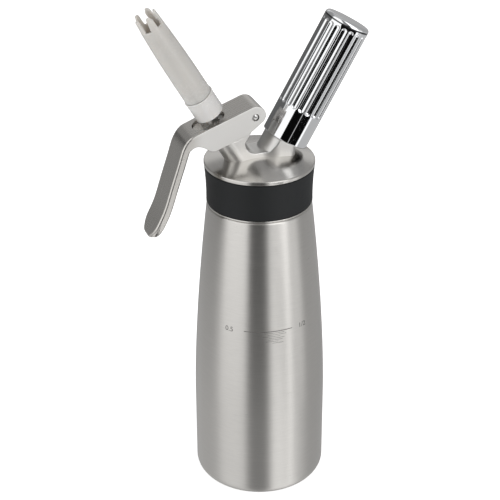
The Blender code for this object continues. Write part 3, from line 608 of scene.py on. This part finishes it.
def wrappedStrip(mesh, start, stop, height, width, proud):
    steps = max(int(abs(stop - start) * 1.5), 4)
    rows = []
    for step in range(steps + 1):
        angle = start + (stop - start) * step / steps
        taper = 1.0 if 0 < step < steps else 0.5
        low, high = height - width * taper / 2, height + width * taper / 2
        rows.append([mesh.verts.new(onWall(angle, h, p)) for h, p in
                     ((low, -proud), (high, -proud), (high, proud), (low, proud))])
    joinLoops(mesh, *rows)


def makeFillMark():
    s = read(markSizes)
    mesh = bmesh.new()
    wrappedStrip(mesh, s.lineFrom, s.lineTo, s.height, s.line, s.proud)
    for line in range(s.hatchLines):
        share = (line + 1) / s.hatchLines
        height = s.height - s.hatchDrop * (line + 1)
        middle = (s.hatchFrom + s.hatchTo) / 2 + 3.0 * math.sin(line * 2.3)
        reach = (s.hatchTo - s.hatchFrom) / 2 * (1.1 - 0.55 * share)
        wrappedStrip(mesh, middle - reach, middle + reach, height, s.line * 0.42, s.proud * 0.8)
    mark = asObject("fill_line", mesh)
    dress(mark, "bottle", etched, "brushed_steel")
    for angle, words in s.figurePlaces:
        flat = linked("figure", given(bpy.data.curves.new("figure", "FONT"), body=words, size=s.figure,
                                      align_x="CENTER", extrude=s.proud, resolution_u=4))
        data = flattened(flat)
        bpy.data.objects.remove(flat)
        base = s.height - s.figure * 0.35
        for vert in data.vertices:
            height = base + vert.co.y
            along = angle + math.degrees(vert.co.x / wallRadius(height))
            vert.co = onWall(along, height, vert.co.z)
        name = "fill_figure_" + words.replace("/", "_").replace(".", "_")
        dress(linked(name, data), "bottle", etched, "brushed_steel")


makeBottle()
makeFillMark()
print("bottle made")


# Head
headSizes = dict(
    rimHeight=0.2120,
    rimThick=0.0025,
    rimRadius=0.0324,
    rimCorner=0.0007,
    domeRise=0.0044,
    seatHeight=0.2094,
    skirtBottom=0.1879,
    flangeRadius=0.0312,
    flangeThick=0.0010,
    skirtRadius=0.0279,
    skirtBore=0.0259,
    castingSink=0.0006,
    towerStep=0.0001,
    towerRight=0.0115,
    ledgeHeight=0.0092,
    ledgeFillet=0.0075,
    portRadius=0.0123,
    portHalfWidth=0.0100,
    portEnd=0.0195,
    portCorner=0.0040,
    portLength=0.0310,
    armRadius=0.0076,
    armLength=0.0470,
    armEnd=0.0456,  # the collar stops 0.9 mm over this
    armBore=0.0047,
    pocketRadius=0.00645,
    pocketDepth=0.0097,
    pivotBoss=0.00412,
    pinHole=0.00215,
    valveSeat=0.0186,
    valveRoom=0.0074,
    stubRadius=0.0098,
    stubLength=0.0130,
    stubThread=(0.0008, 0.0030, 2.5, 0.0030),  # height, pitch, turns, start
    recess=(0.0060, 0.0330),  # radius, floor
    gasBore=0.0014,
    gasValve=(0.0030, 0.0177),  # radius, top
    voxel=0.00032,
    relaxPasses=7,
)


def drum(radius, low, high, place, sides=64):
    return latheMesh([(0, low), (radius, low), (radius, high), (0, high)], sides, place)


def coverProfile():
    s = read(headSizes)
    top = s.rimHeight + s.rimThick
    reach = s.rimRadius - s.rimCorner
    edge = arc((reach, top - s.rimCorner), s.rimCorner, 0, 84, 6)
    radii = [reach * (1 - step / 48) for step in range(1, 49)]
    dome = [(radius, top + s.domeRise * (1 - (radius / reach) ** 2)) for radius in radii]
    low, flange = s.skirtBottom, s.skirtBottom + s.flangeThick
    skirt = softened([(s.skirtBore, low), (s.flangeRadius, low), (s.flangeRadius, flange),
                      (s.skirtRadius, flange)], [0, smallEdge, smallEdge, 0], 4, False)
    return [(0, s.seatHeight), (s.skirtBore, s.seatHeight), *skirt, (s.skirtRadius, s.rimHeight),
            (s.rimRadius - smallEdge, s.rimHeight), (s.rimRadius, s.rimHeight + smallEdge), *edge, *dome]


def bore(piece, *names):
    s = read(headSizes)
    arm, past = s.armEnd, s.armEnd + 0.01
    cuts = {
        "valve": (s.valveRoom, 0.0, s.valveSeat, nozzlePlace),
        "stem": (s.armBore, s.valveSeat - sink, past, nozzlePlace),
        "spring": (s.pocketRadius, arm - s.pocketDepth, past, nozzlePlace),
        "recess": (s.recess[0], s.recess[1], 0.06, chargerPlace),
        "gas": (s.gasBore, 0.015, s.recess[1] + sink, chargerPlace, 24),
        "gasValve": (s.gasValve[0], 0.0, s.gasValve[1], chargerPlace, 32),
        "pin": (s.pinHole, -beyond, beyond, pinPlace, 48),
    }
    for name in names:
        combine(piece, drum(*cuts[name]))


def castingSide():
    s = read(headSizes)
    base = s.rimHeight + s.castingSink
    ledge = s.rimHeight + s.ledgeHeight
    left = s.portEnd - s.portRadius
    fillet = arc((s.ledgeFillet - s.towerRight, ledge + s.ledgeFillet), s.ledgeFillet, 270, 180, 16)
    boss = arc((pinPoint.x, pinPoint.z), s.pivotBoss, -40, 190, 24)
    foot = nozzlePlace.translation
    way = nozzlePlace.to_3x3() @ Vector((0, 0, 1))
    armSide = foot + way * (s.armLength - s.armRadius)
    armLow = foot + way * (s.armLength / 2)
    return [(left, base), (left, ledge), *fillet, *boss,
            (armSide.x + s.armRadius, armSide.z + s.armRadius / 2),
            (armSide.x, armSide.z), (armLow.x, base)]


def castingPlan():
    s = read(headSizes)
    narrow = s.armRadius - s.towerStep
    start = s.pivotBoss + pinPoint.x
    run = s.portEnd / 2 - start
    side = [(-s.towerRight - s.armRadius * 2, narrow)]
    for step in range(17):
        share = step / 16
        ease = share * share * (3 - 2 * share)
        side.append((start + run * share, narrow + (s.portHalfWidth - narrow) * ease))
    corner = s.portCorner
    side += arc((s.portEnd - corner, s.portHalfWidth - corner), corner, 90, 0, 12)
    return side + [(x, -y) for x, y in side[::-1]]


def makeCover():
    cover = asObject("head_cover", latheMesh(coverProfile(), roundSides))
    bore(cover, "valve", "stem", "gas", "gasValve")
    dress(cover, "head", coverSteel, "satin_steel", "head")


def makeCasting():
    s = read(headSizes)
    high = pinPoint.z + 0.01
    base = s.rimHeight + s.castingSink
    casting = asObject("valve_tower", slabMesh(castingSide(), -s.portRadius, s.portRadius))
    combine(casting, drum(s.portRadius, 0.0, s.portLength, chargerPlace, 128), "UNION")
    combine(casting, slabMesh(castingPlan(), base, high, upright, True), "INTERSECT")
    arm = asObject("arm", drum(s.armRadius, 0.0, s.armEnd, nozzlePlace, 128))
    room = [(-0.05, -beyond), (0.03, -beyond), (0.03, beyond), (-0.05, beyond)]
    combine(arm, slabMesh(room, base + s.towerStep, high, upright, True), "INTERSECT")
    mesh = bmesh.new()
    mesh.from_mesh(arm.data)
    bpy.data.objects.remove(arm)
    combine(casting, mesh, "UNION")
    bore(casting, "stem", "spring", "gas", "pin")
    rounded(casting, s.voxel, s.relaxPasses)
    dress(casting, "head", castSteel, "satin_steel", "head", sharp=60.0)

    height, pitch, turns, start = s.stubThread
    low, top = s.portLength - sink, s.portLength + s.stubLength
    edge = s.stubRadius - sink
    profile = [(0, low), (s.stubRadius, low), (s.stubRadius, top - sink), (edge, top), (0, top)]
    stub = asObject("charger_stub", latheMesh(profile, 96, chargerPlace))
    bore(stub, "recess", "gas")
    ridge = ridgeMesh(edge, s.stubRadius + height, pitch, turns, s.portLength + start, 72, chargerPlace)
    combine(stub, ridge, "UNION")
    dress(stub, "head", innerSteel, "satin_steel", "head")


makeCover()
makeCasting()
print("head made")


# Silicone collar
collarSizes = dict(
    inner=0.0282,
    low=0.1892,
    height=0.0225,
    lowRadius=0.0312,
    topRadius=0.03225,
    waist=0.0001,
    edge=0.0005,
)


def makeCollar():
    s = read(collarSizes)
    outside = []
    for step in range(25):
        share = step / 24
        line = s.lowRadius + (s.topRadius - s.lowRadius) * share ** 2
        outside.append((line - s.waist * math.sin(math.pi * share), s.low + s.height * share))
    outline = [(s.inner, s.low), *outside, (s.inner, s.low + s.height)]
    radii = [0.0] * len(outline)
    radii[1] = radii[-2] = s.edge
    collar = asObject("silicone_collar", latheMesh(softened(outline, radii, 5), roundSides))
    dress(collar, "head", silicone, "black_silicone", "heat_collar")


makeCollar()
print("collar made")


# Lever
leverSizes = dict(
    slope=math.radians(19.0),
    endRadius=0.00652,
    plate=0.0020,
    flat=0.0361,
    cheekDepth=0.0147,
    handleReach=0.02824,
    handleDrop=0.0610,
    handleThick=0.0050,
    tipRound=0.0110,
    tipFlatShare=0.3,
    edgeRound=0.0016,
    cheekEdgeShare=0.31,
    edgeSteps=8,
    edgeFade=0.012,
    tipCap=0.0034,
    tipCorner=(0.0026, 0.0023),
    slotLength=0.0200,
    slotWidth=0.0126,
    slotShift=0.0031,
    pinHole=0.00215,
    rimEdge=0.00022,
    rimAngle=math.radians(55.0),
)
handleShares = ((-0.052, -0.008), (-0.112, -0.027), (-0.178, -0.058), (-0.235, -0.099),
                (-0.288, -0.154), (-0.377, -0.283), (-0.466, -0.404), (-0.550, -0.520),
                (-0.635, -0.643), (-0.706, -0.731), (-0.783, -0.806), (-0.854, -0.868),
                (-0.913, -0.920), (-0.959, -0.962), (-0.986, -0.987), (-1.000, -1.000))
cheekShares = ((1.080, -0.040), (1.030, -0.048), (0.983, -0.105), (0.929, -0.225),
               (0.880, -0.385), (0.835, -0.500), (0.765, -0.555), (0.690, -0.557),
               (0.260, -0.557), (0.190, -0.535), (0.110, -0.480), (-0.110, -0.310))
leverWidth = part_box("lever")[1].y * 2


def leverPoint(along, up):
    # along and across the lever's plate, from the pin, as a side-view point
    slope = leverSizes["slope"]
    c, s = math.cos(slope), math.sin(slope)
    return (-c * along - s * up, -s * along + c * up)


def smoothLine(points, steps):
    # a curve through given points
    made = []
    for place in range(len(points) - 1):
        p0 = Vector(points[max(place - 1, 0)])
        p1, p2 = Vector(points[place]), Vector(points[place + 1])
        p3 = Vector(points[min(place + 2, len(points) - 1)])
        for step in range(steps):
            t = step / steps
            spot = 2 * p1 + (p2 - p0) * t + (2 * p0 - 5 * p1 + 4 * p2 - p3) * t * t
            spot += (3 * p1 - p0 - 3 * p2 + p3) * t ** 3
            made.append(tuple(spot / 2))
    made.append(tuple(points[-1]))
    return made


def leverOutline():
    s = read(leverSizes)
    end = [leverPoint(-x, z) for x, z in arc((0, 0), s.endRadius, -20, 90, 24)]
    top = [leverPoint(s.flat * share, s.endRadius) for share in (0.4, 0.8, 0.9)]
    bend = Vector(leverPoint(s.flat, s.endRadius))
    rough = [bend + Vector((x * s.handleReach, z * s.handleDrop)) for x, z in handleShares]
    outer = [Vector(spot) for spot in smoothLine([top[-1], *rough], 4)[1:]]
    inner = []
    for place in range(16, len(outer)):
        after = min(place + 1, len(outer) - 1)
        along = (outer[after] - outer[after - 2]).normalized()
        inner.append(outer[place] + Vector((-along.y, along.x)) * s.handleThick)
    # the tip's two corners are rounded in side view
    outerEnd, innerEnd = outer[-1], inner[-1]
    outer = [spot for spot in outer[:-1] if (spot - outerEnd).length > s.tipCap]
    inner = [spot for spot in inner[:-1] if (spot - innerEnd).length > s.tipCap]
    corners = [outer[-1], outerEnd, innerEnd, inner[-1]]
    cap = softened([tuple(spot) for spot in corners], [0, *s.tipCorner, 0], 7, False)
    outer += [Vector(spot) for spot in cap[1:-1]]
    cheek = smoothLine([leverPoint(x * s.flat, z * s.cheekDepth) for x, z in cheekShares[:8]], 4)
    cheek += smoothLine([leverPoint(x * s.flat, z * s.cheekDepth) for x, z in cheekShares[8:]], 4)
    return end + top + [tuple(spot) for spot in outer + inner[::-1]] + cheek, rough


def insetLine(outline, amount):
    moved = []
    for place, point in enumerate(outline):
        here = Vector(point)
        before = (here - Vector(outline[place - 1])).normalized()
        after = (Vector(outline[(place + 1) % len(outline)]) - here).normalized()
        normal = Vector((-(before.y + after.y), before.x + after.x)).normalized()
        moved.append(here + normal * amount)
    return moved


def edgeShare(x):
    # how much of the wide edge rounding the outline has at x from the pin
    s = read(leverSizes)
    bendAt = leverPoint(s.flat, s.endRadius)[0]
    along = min(max((bendAt - x) / s.edgeFade + 0.5, 0), 1)
    return s.cheekEdgeShare + (1 - s.cheekEdgeShare) * along


def makeLever():
    s = read(leverSizes)
    outline, rough = leverOutline()
    half = leverWidth / 2
    tip = rough[-1]
    tipWay = (tip - rough[-4]).normalized()
    levels = []
    for step in range(s.edgeSteps + 1):
        turn = math.pi / 2 * step / s.edgeSteps
        levels.append((s.edgeRound * (1 - math.sin(turn)), s.edgeRound * (1 - math.cos(turn))))
    rows = [(-1, pull, back) for pull, back in levels[::-1][:-1]] + [(-1, *levels[0]), (1, *levels[0])]
    rows += [(1, pull, back) for pull, back in levels[1:]]
    mesh = bmesh.new()
    sheets = []
    for side, back, pull in rows:
        sheet = []
        for start, end in zip(outline, insetLine(outline, pull)):
            share = edgeShare(start[0])
            spot = Vector(start).lerp(end, share)
            fromTip = max((tip - spot).dot(tipWay), 0)
            bare = max(1 - fromTip / s.tipRound, 0)
            narrow = max(math.sqrt(1 - bare * bare), s.tipFlatShare)
            sheet.append(mesh.verts.new((spot.x, side * (half - back * share) * narrow, spot.y)))
        sheets.append(sheet)
    joinLoops(mesh, *sheets)
    place = Matrix.Translation(pinPoint)
    bmesh.ops.transform(mesh, matrix=place, verts=mesh.verts)
    lever = asObject("lever_pressing", mesh)

    under = s.endRadius - s.plate
    inner = half - s.plate
    far = s.flat - s.plate
    end = [leverPoint(-x, z) for x, z in arc((0, 0), under, -15, 90, 24)]
    hollow = [*end, leverPoint(far, under), leverPoint(far + s.plate, 0),
              leverPoint(far + s.plate * 2, -s.cheekDepth), leverPoint(0, -s.cheekDepth)]
    combine(lever, slabMesh(hollow, -inner, inner, place))

    leverWay = Vector((-math.cos(s.slope), 0, -math.sin(s.slope)))
    leverUp = Vector((-math.sin(s.slope), 0, math.cos(s.slope)))
    rise = (pinPoint - nozzlePlace.translation).dot(leverUp) + s.endRadius
    crossing = nozzlePlace.translation + nozzleWay * (rise / nozzleWay.dot(leverUp))
    middle = pinPoint + leverWay * ((crossing - pinPoint).dot(leverWay) + s.slotShift)
    run = (s.slotLength - s.slotWidth) / 2
    right = arc((run, 0), s.slotWidth / 2, -90, 90, 28)
    slot = right + [(-x, -y) for x, y in right]
    slotPlace = Matrix.Translation(middle) @ Matrix.Rotation(-s.slope, 4, "Y")
    combine(lever, slabMesh(slot, under - 0.002, s.endRadius + 0.002, slotPlace, True))
    combine(lever, drum(s.pinHole, -beyond, beyond, pinPlace, 48))
    modify(lever, "BEVEL", width=s.rimEdge, segments=2, limit_method="ANGLE",
           angle_limit=s.rimAngle, use_clamp_overlap=True)
    evened(settle(lever))
    dress(lever, "lever", leverSteel, "satin_steel", "lever", sharp=None)


pinSizes = dict(
    radius=0.00185,
    crown=0.0002,
    face=0.00115,
    chamfer=0.0005,
    corner=0.0001,
)


def makePin():
    s = read(pinSizes)
    long = leverWidth / 2 + s.crown
    crown = [(s.face * step / 6, long - s.crown * 0.4 * (step / 6) ** 2) for step in range(7)]
    half = crown + [(s.radius - s.corner, long - s.chamfer), (s.radius, long - s.chamfer - s.corner)]
    profile = half + [(r, -h) for r, h in half[::-1]]
    pin = asObject("pivot_pin", latheMesh(profile, 48, pinPlace))
    dress(pin, "head", pinSteel, "chrome", "lever_pin")


makeLever()
makePin()
print("lever made")


# Nozzle and its cuff
nozzleSizes = dict(
    edge=0.0006,
    seamEdge=0.00025,
    bead=(0.0010, 0.00024),  # height and reach of the bright bead under the seam
    stemFit=0.0035,
    footLift=0.0015,  # the cuff's foot stands this far above its solid's
    stepBack=0.0022,
    spigotRadius=0.0042,
    spigotLength=0.0080,
    bore=0.0020,
    nozzleRadius=0.0073,
    tipRadius=0.0065,
    wall=0.0013,
    prongs=5,
    prongLength=0.0080,
    prongWidth=0.0031,
    prongTurn=math.radians(197.0),
    gapRound=0.0009,
    seamClose=0.00027,
    bulge=0.00055,
    gapFloorShare=0.66,  # the gap's width at its floor, beside its middle width
    gapTopShare=1.12,
    gapEdge=(0.0011, 1.45),  # where the prongs' ends start to round, and how far they do
    tipSink=0.0005,
    voxel=0.00027,
    relaxPasses=5,
)


def makeCuff():
    s = read(nozzleSizes)
    low, high, radius = span("nozzle_adapter", nozzlePlace)
    low += s.footLift
    top = high - s.spigotLength
    step = top - s.stepBack + smallEdge
    bead, reach = s.bead
    outline = [(s.stemFit, low), (radius, low), (radius, top - bead), (radius + reach, top - bead * 0.6),
               (radius + reach, top), (s.spigotRadius, top), (s.spigotRadius, high), (s.bore, high),
               (s.bore, step), (s.stemFit, step)]
    radii = [0.0002, s.edge, 0.0001, 0.0001, s.seamEdge, 0, 0.0004, 0.0002, 0, 0]
    cuff = asObject("nozzle_cuff", latheMesh(softened(outline, radii, 6), 160, nozzlePlace))
    dress(cuff, "valve", cuffPlastic, "white_plastic", "nozzle_adapter")


def makeNozzle():
    s = read(nozzleSizes)
    low, high, radius = span("nozzle", nozzlePlace)
    low -= s.seamClose
    high -= s.tipSink
    socket = radius - s.wall
    tipBore = s.tipRadius - s.wall
    socketEnd = low + s.spigotLength + smallEdge
    sides = []
    for step in range(15):
        share = step / 14
        swell = s.bulge * math.sin(math.pi * share)
        sides.append((radius + (s.tipRadius - radius) * share + swell, low + (high - low) * share))
    outline = [(socket, low), *sides, (tipBore, high), (socket - smallEdge, socketEnd),
               (socket, socketEnd - smallEdge * 2)]
    nozzle = asObject("decorating_nozzle", latheMesh(outline, 200))
    halfGap = math.pi / s.prongs
    inner = s.prongWidth / 2 / math.sin(halfGap)
    floor = high - s.prongLength
    for prong in range(s.prongs):
        turn = s.prongTurn + (2 * prong + 1) * halfGap
        # a wedge between two prongs, its bottom corners round, seen along the gap's middle
        mesh = bmesh.new()
        sheets = []
        for reach in (inner, inner + beyond):
            width = (reach - inner) * math.tan(halfGap) + 0.00001
            start, spread = s.gapEdge
            half = [(width * s.gapFloorShare, floor), (width * s.gapTopShare, high - start),
                    (width * spread, high + smallEdge), (width * spread, high + beyond / 2)]
            spots = softened([(-u, v) for u, v in half[::-1]] + half,
                             [0, 0, 0, *[min(s.gapRound, width * 0.5)] * 2, 0, 0, 0], 6)
            sheets.append([mesh.verts.new((reach, across, lift)) for across, lift in spots])
        joinLoops(mesh, *sheets)
        bmesh.ops.rotate(mesh, verts=mesh.verts, cent=(0, 0, 0), matrix=Matrix.Rotation(turn, 3, "Z"))
        combine(nozzle, mesh)
    rounded(nozzle, s.voxel, s.relaxPasses)
    nozzle.data.transform(nozzlePlace)
    dress(nozzle, "nozzle", nozzlePlastic, "white_plastic", "nozzle", sharp=70.0)


makeCuff()
makeNozzle()
print("nozzle made")


# Charger sleeve
sleeveSizes = dict(
    mouthRadius=0.0110,
    mouthEnd=0.0455,
    bore=0.00955,
    topWall=0.0021,
    topRound=0.0020,
    lip=0.0005,
    smooth=0.0185,
    crownLand=0.0037,
    flutes=20,
    fluteRadius=0.0023,
    fluteDepth=0.00068,
    softness=0.00010,
    sides=640,
)


def fluteTree():
    # presses round-ended flutes into the outside of a sleeve that stands on Z
    tree = bpy.data.node_groups.new("sunk_flutes", "GeometryNodeTree")
    lengths = ("Flute radius", "Depth", "Low end", "High end", "Sleeve radius", "Softness")
    kinds = {"Geometry": "Geometry", "Finish": "Material", "Flutes": "Int"}
    kinds.update(dict.fromkeys(lengths, "Float"))
    for name, kind in kinds.items():
        tree.interface.new_socket(name, in_out="INPUT", socket_type="NodeSocket" + kind)
    tree.interface.new_socket("Geometry", in_out="OUTPUT", socket_type="NodeSocketGeometry")
    wire = Wire(tree)
    start = tree.nodes.new("NodeGroupInput")
    entries = [Wire(tree, start.outputs[name]) for name in kinds]
    geometry, finish, flutes, fluteRadius, fluteDepth, low, high, sleeve, softness = entries
    x, y, z = wire.node("GeometryNodeInputPosition").axes()
    radius = (x * x + y * y).math("SQRT")
    cell = y.math("ARCTAN2", x) / math.tau * flutes
    across = (cell.math("FLOORED_MODULO", 1.0) - 0.5) / flutes * sleeve * math.tau
    past = (z - high).math("MAXIMUM", low - z).math("MAXIMUM", 0.0)
    off = across * across + past * past
    sunk = (fluteRadius ** 2.0 - off).math("MAXIMUM", 0.0).math("SQRT") - fluteRadius + fluteDepth
    press = (sunk + (sunk * sunk + softness ** 2.0).math("SQRT")) * 0.5
    outside = radius.math("GREATER_THAN", sleeve * 0.985)
    shrink = 1.0 - press * outside / radius
    new = wire.node("ShaderNodeCombineXYZ", {"X": x * shrink, "Y": y * shrink, "Z": z})
    moved = wire.node("GeometryNodeSetPosition", {"Geometry": geometry, "Position": new})
    real = wire.node("GeometryNodeRealizeInstances", {"Geometry": moved})
    painted = wire.node("GeometryNodeSetMaterial", {"Geometry": real, "Material": finish})
    stop = tree.nodes.new("NodeGroupOutput")
    tree.links.new(painted.socket, stop.inputs["Geometry"])
    return tree


def runTree(piece, tree, values):
    # set the tree's inputs by identifier, then keep the result
    step = piece.modifiers.new(tree.name, "NODES")
    step.node_group = tree
    for item in tree.interface.items_tree:
        if item.item_type == "SOCKET" and item.in_out == "INPUT" and item.name in values:
            step[item.identifier] = values[item.name]
    return settle(piece)


def makeSleeve():
    s = read(sleeveSizes)
    low, high, radius = span("charger_holder", chargerPlace)
    fluteLow = low + s.smooth + s.fluteRadius
    fluteHigh = high - s.crownLand - s.fluteRadius
    reach = s.fluteRadius + smallEdge
    rows = [fluteHigh + reach * (1 - step / 18) for step in range(19)]
    rows += [fluteHigh - (fluteHigh - fluteLow) * step / 6 for step in range(1, 6)]
    rows += [fluteLow - reach * step / 18 for step in range(19)]
    crown = arc((radius - s.topRound, high - s.topRound), s.topRound, 84, 0, 10)
    foot = arc((radius - s.lip, low + s.lip), s.lip, 0, -90, 5)
    profile = [(0, high), (radius * 0.4, high), (radius - s.topRound - 0.0012, high - 0.00002), *crown,
               *((radius, row) for row in rows), *foot, (s.mouthRadius + smallEdge, low),
               (s.mouthRadius, low + smallEdge), (s.mouthRadius, s.mouthEnd),
               (s.bore, s.mouthEnd + s.mouthRadius - s.bore), (s.bore, high - s.topWall),
               (0, high - s.topWall)]
    sleeve = asObject("charger_sleeve", latheMesh(profile, s.sides))
    runTree(sleeve, fluteTree(), {
        "Flutes": s.flutes, "Flute radius": s.fluteRadius, "Depth": s.fluteDepth, "Softness": s.softness,
        "Low end": fluteLow, "High end": fluteHigh, "Sleeve radius": radius, "Finish": chrome})
    sleeve.data.transform(chargerPlace)
    evened(sleeve)
    dress(sleeve, "holder", chrome, "chrome", "charger_holder", sharp=None)


makeSleeve()
print("sleeve made")


# Valve spring: the CAD coil with its doubled corners merged
springSizes = dict(
    travel=0.0037,
    room=0.0002,
    weld=0.000002,
)


def makeSpring():
    s = read(springSizes)
    low, high, radius = span("valve_spring", nozzlePlace)
    mesh = bmesh.new()
    mesh.from_mesh(nodes["valve_spring"].data)
    bmesh.ops.remove_doubles(mesh, verts=mesh.verts, dist=s.weld)
    spring = asObject("return_spring", mesh)
    dress(spring, "head", innerSteel, "brushed_steel", "valve_spring")
    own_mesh(spring)


makeSpring()
print("spring made")


# CAD nodes that keep their shape
kept = (
    (rubber, ("head_gasket", "valve_seal", "stem_o_ring_lower", "stem_o_ring_upper", "adapter_o_ring",
              "charger_seal", "gas_valve")),
    (innerSteel, ("valve_stem", "seal_nut", "piercing_pin")),
    (brass, ("guide_bush", "piercing_holder")),
    (bulbSteel, ("charger",)),
    (nozzlePlastic, ("thrust_collar",)),
)
for look, names in kept:
    for name in names:
        for slot in nodes[name].material_slots:
            slot.material = look
print("inner parts painted")


# Camera
view = dict(
    turn=math.radians(21.5),
    drop=math.radians(29.195),
    distance=0.900,
    aim=(0.0, 0.0, 0.150),
    lens=108.1,
    sensor=36.0,
    shift=(-0.0188, 0.0102),
)
level = math.cos(view["drop"])
ahead = Vector((math.sin(view["turn"]) * level, math.cos(view["turn"]) * level, -math.sin(view["drop"])))
lens = given(bpy.data.cameras.new("camera"), lens=view["lens"], sensor_width=view["sensor"],
             shift_x=view["shift"][0], shift_y=view["shift"][1])
camera = given(linked("camera", lens), location=Vector(view["aim"]) - ahead * view["distance"],
               rotation_euler=ahead.to_track_quat("-Z", "Y").to_euler())
bpy.context.scene.camera = camera


# Studio
studio = dict(
    wall=0.52,  # everywhere that no card covers
    behindFrom=(150.0, 164.0),
    floorTone=0.93,
    floorGlow=0.66,
    floorReach=4.0,
    floorHeight=-0.0002,
    lampAim=(0.0, 0.0, 0.15),
)
# Lamps: name, place, size and watts
lamps = (
    ("key", (1.2, -0.6, 1.0), 1.0, 4.0),
    ("fill", (-0.9, -0.7, 1.5), 1.4, 0.8),
)
# Cards of the light tent, in degrees: bearing from and to, counted from the camera's side, height
# over the horizon from and to, width of the soft edge; then brightness. A later card covers an
# earlier one.
cards = (
    (-210.0, 210.0, -100.0, -24.0, 7.0, 0.58),
    (-158.0, -84.0, -24.0, 60.0, 9.0, 0.30),
    (88.0, 158.0, -24.0, 60.0, 9.0, 0.38),
    (-76.0, -16.0, -70.0, -12.0, 10.0, 0.82),
    (18.0, 84.0, -70.0, -12.0, 9.0, 1.15),
    (-70.0, -20.0, -20.0, 66.0, 7.0, 1.25),
    (-86.0, -60.0, 4.0, 60.0, 5.0, 1.20),
    (18.0, 58.0, -20.0, 66.0, 7.0, 1.80),
    (-25.0, 21.0, -90.0, -28.0, 12.0, 0.36),
    (-21.0, 16.0, -30.0, 12.0, 7.0, 0.06),
    (-18.0, 16.0, 14.0, 70.0, 6.0, 0.25),
)
# Narrow cards that the charger sleeve mirrors: as above, with the angle off its axis for the height
stripCards = (
    (-82.0, -24.0, 95.6, 103.0, 1.2, 1.15),
    (-190.0, -86.0, 94.0, 103.0, 2.0, 0.12),
    (62.0, 150.0, 95.6, 103.0, 2.0, 0.50),
    (-25.0, 50.0, 94.0, 103.0, 0.8, 0.003),
    (10.3, 12.8, 97.0, 103.0, 0.8, 0.55),
    (-190.0, 150.0, 93.2, 95.4, 0.6, 0.03),
)
# Cards behind the object: height from and to, soft edge, brightness
backCards = (
    (-90.0, 12.0, 5.0, 0.40),
    (12.0, 28.5, 3.0, 0.74),
    (28.5, 50.0, 3.0, 0.33),
)


def makeWorld():
    # a tent of pale walls with soft boxes and dark cards
    world = bpy.data.worlds.new("studio")
    world.use_nodes = True
    tree = world.node_tree
    tree.nodes.clear()
    wire = Wire(tree)
    way = wire.node("ShaderNodeTexCoord")
    right = (math.cos(view["turn"]), -math.sin(view["turn"]), 0.0)
    toward = (-math.sin(view["turn"]), -math.cos(view["turn"]), 0.0)

    def along(axis):
        return wire.node("ShaderNodeVectorMath", {0: way, 1: axis}, "Value", operation="DOT_PRODUCT")

    degree = 180.0 / math.pi
    bearing = along(right).math("ARCTAN2", along(toward)) * degree
    height = along((0.0, 0.0, 1.0)).math("ARCSINE") * degree
    lean = along(tuple(sleeveJoint["axis"])).math("ARCCOSINE") * degree

    def laid(base, mask, level):
        return base + (mask * (level - base))

    def hung(base, rows, rising):
        for left, end, low, high, soft, level in rows:
            base = laid(base, band(bearing, left, end, soft) * band(rising, low, high, soft), level)
        return base

    tone = hung(bearing * 0.0 + studio["wall"], cards, height)
    behind = rise(bearing.math("ABSOLUTE"), *studio["behindFrom"])
    for low, high, soft, level in backCards:
        tone = laid(tone, behind * band(height, low, high, soft), level)
    tone = hung(tone, stripCards, lean)

    seen = wire.node("ShaderNodeLightPath")
    final = laid(tone, seen, 1.0)
    colour = wire.node("ShaderNodeCombineColor", {0: final, 1: final, 2: final})
    shade = wire.node("ShaderNodeBackground", {"Color": colour, "Strength": 1.0})
    end = tree.nodes.new("ShaderNodeOutputWorld")
    tree.links.new(shade.socket, end.inputs["Surface"])
    bpy.context.scene.world = world


def softBox(name, place, size, watts):
    data = given(bpy.data.lights.new(name, "AREA"), shape="DISK", size=size, energy=watts)
    way = Vector(studio["lampAim"]) - Vector(place)
    given(linked(name, data), location=place, rotation_euler=way.to_track_quat("-Z", "Y").to_euler(),
          visible_glossy=False, visible_camera=False)


def makeFloor():
    look, wire = newLook("studio_floor")
    patch = grain(wire, 3.0, 2.0, 0.5)
    tone = studio["floorTone"]
    pale, warm = (tone, tone, tone, 1.0), (tone * 0.99, tone * 0.99, tone * 0.985, 1.0)
    finished(look, wire, {
        "Base Color": mixColours(patch, pale, warm),
        "Roughness": 0.9,
        "Specular IOR Level": 0.1,
        "Emission Color": (1.0, 1.0, 1.0, 1.0),
        "Emission Strength": studio["floorGlow"],
    })
    mesh = bmesh.new()
    reach, height = studio["floorReach"], studio["floorHeight"]
    corners = ((-reach, -reach), (reach, -reach), (reach, reach), (-reach, reach))
    mesh.faces.new([mesh.verts.new((x, y, height)) for x, y in corners])
    floor = asObject("floor", mesh)
    floor.data.materials.append(look)
    floor.visible_glossy = False


bpy.context.scene.view_settings.view_transform = "Standard"  # white stays white
makeWorld()
for lamp in lamps:
    softBox(*lamp)
makeFloor()
print("studio set")
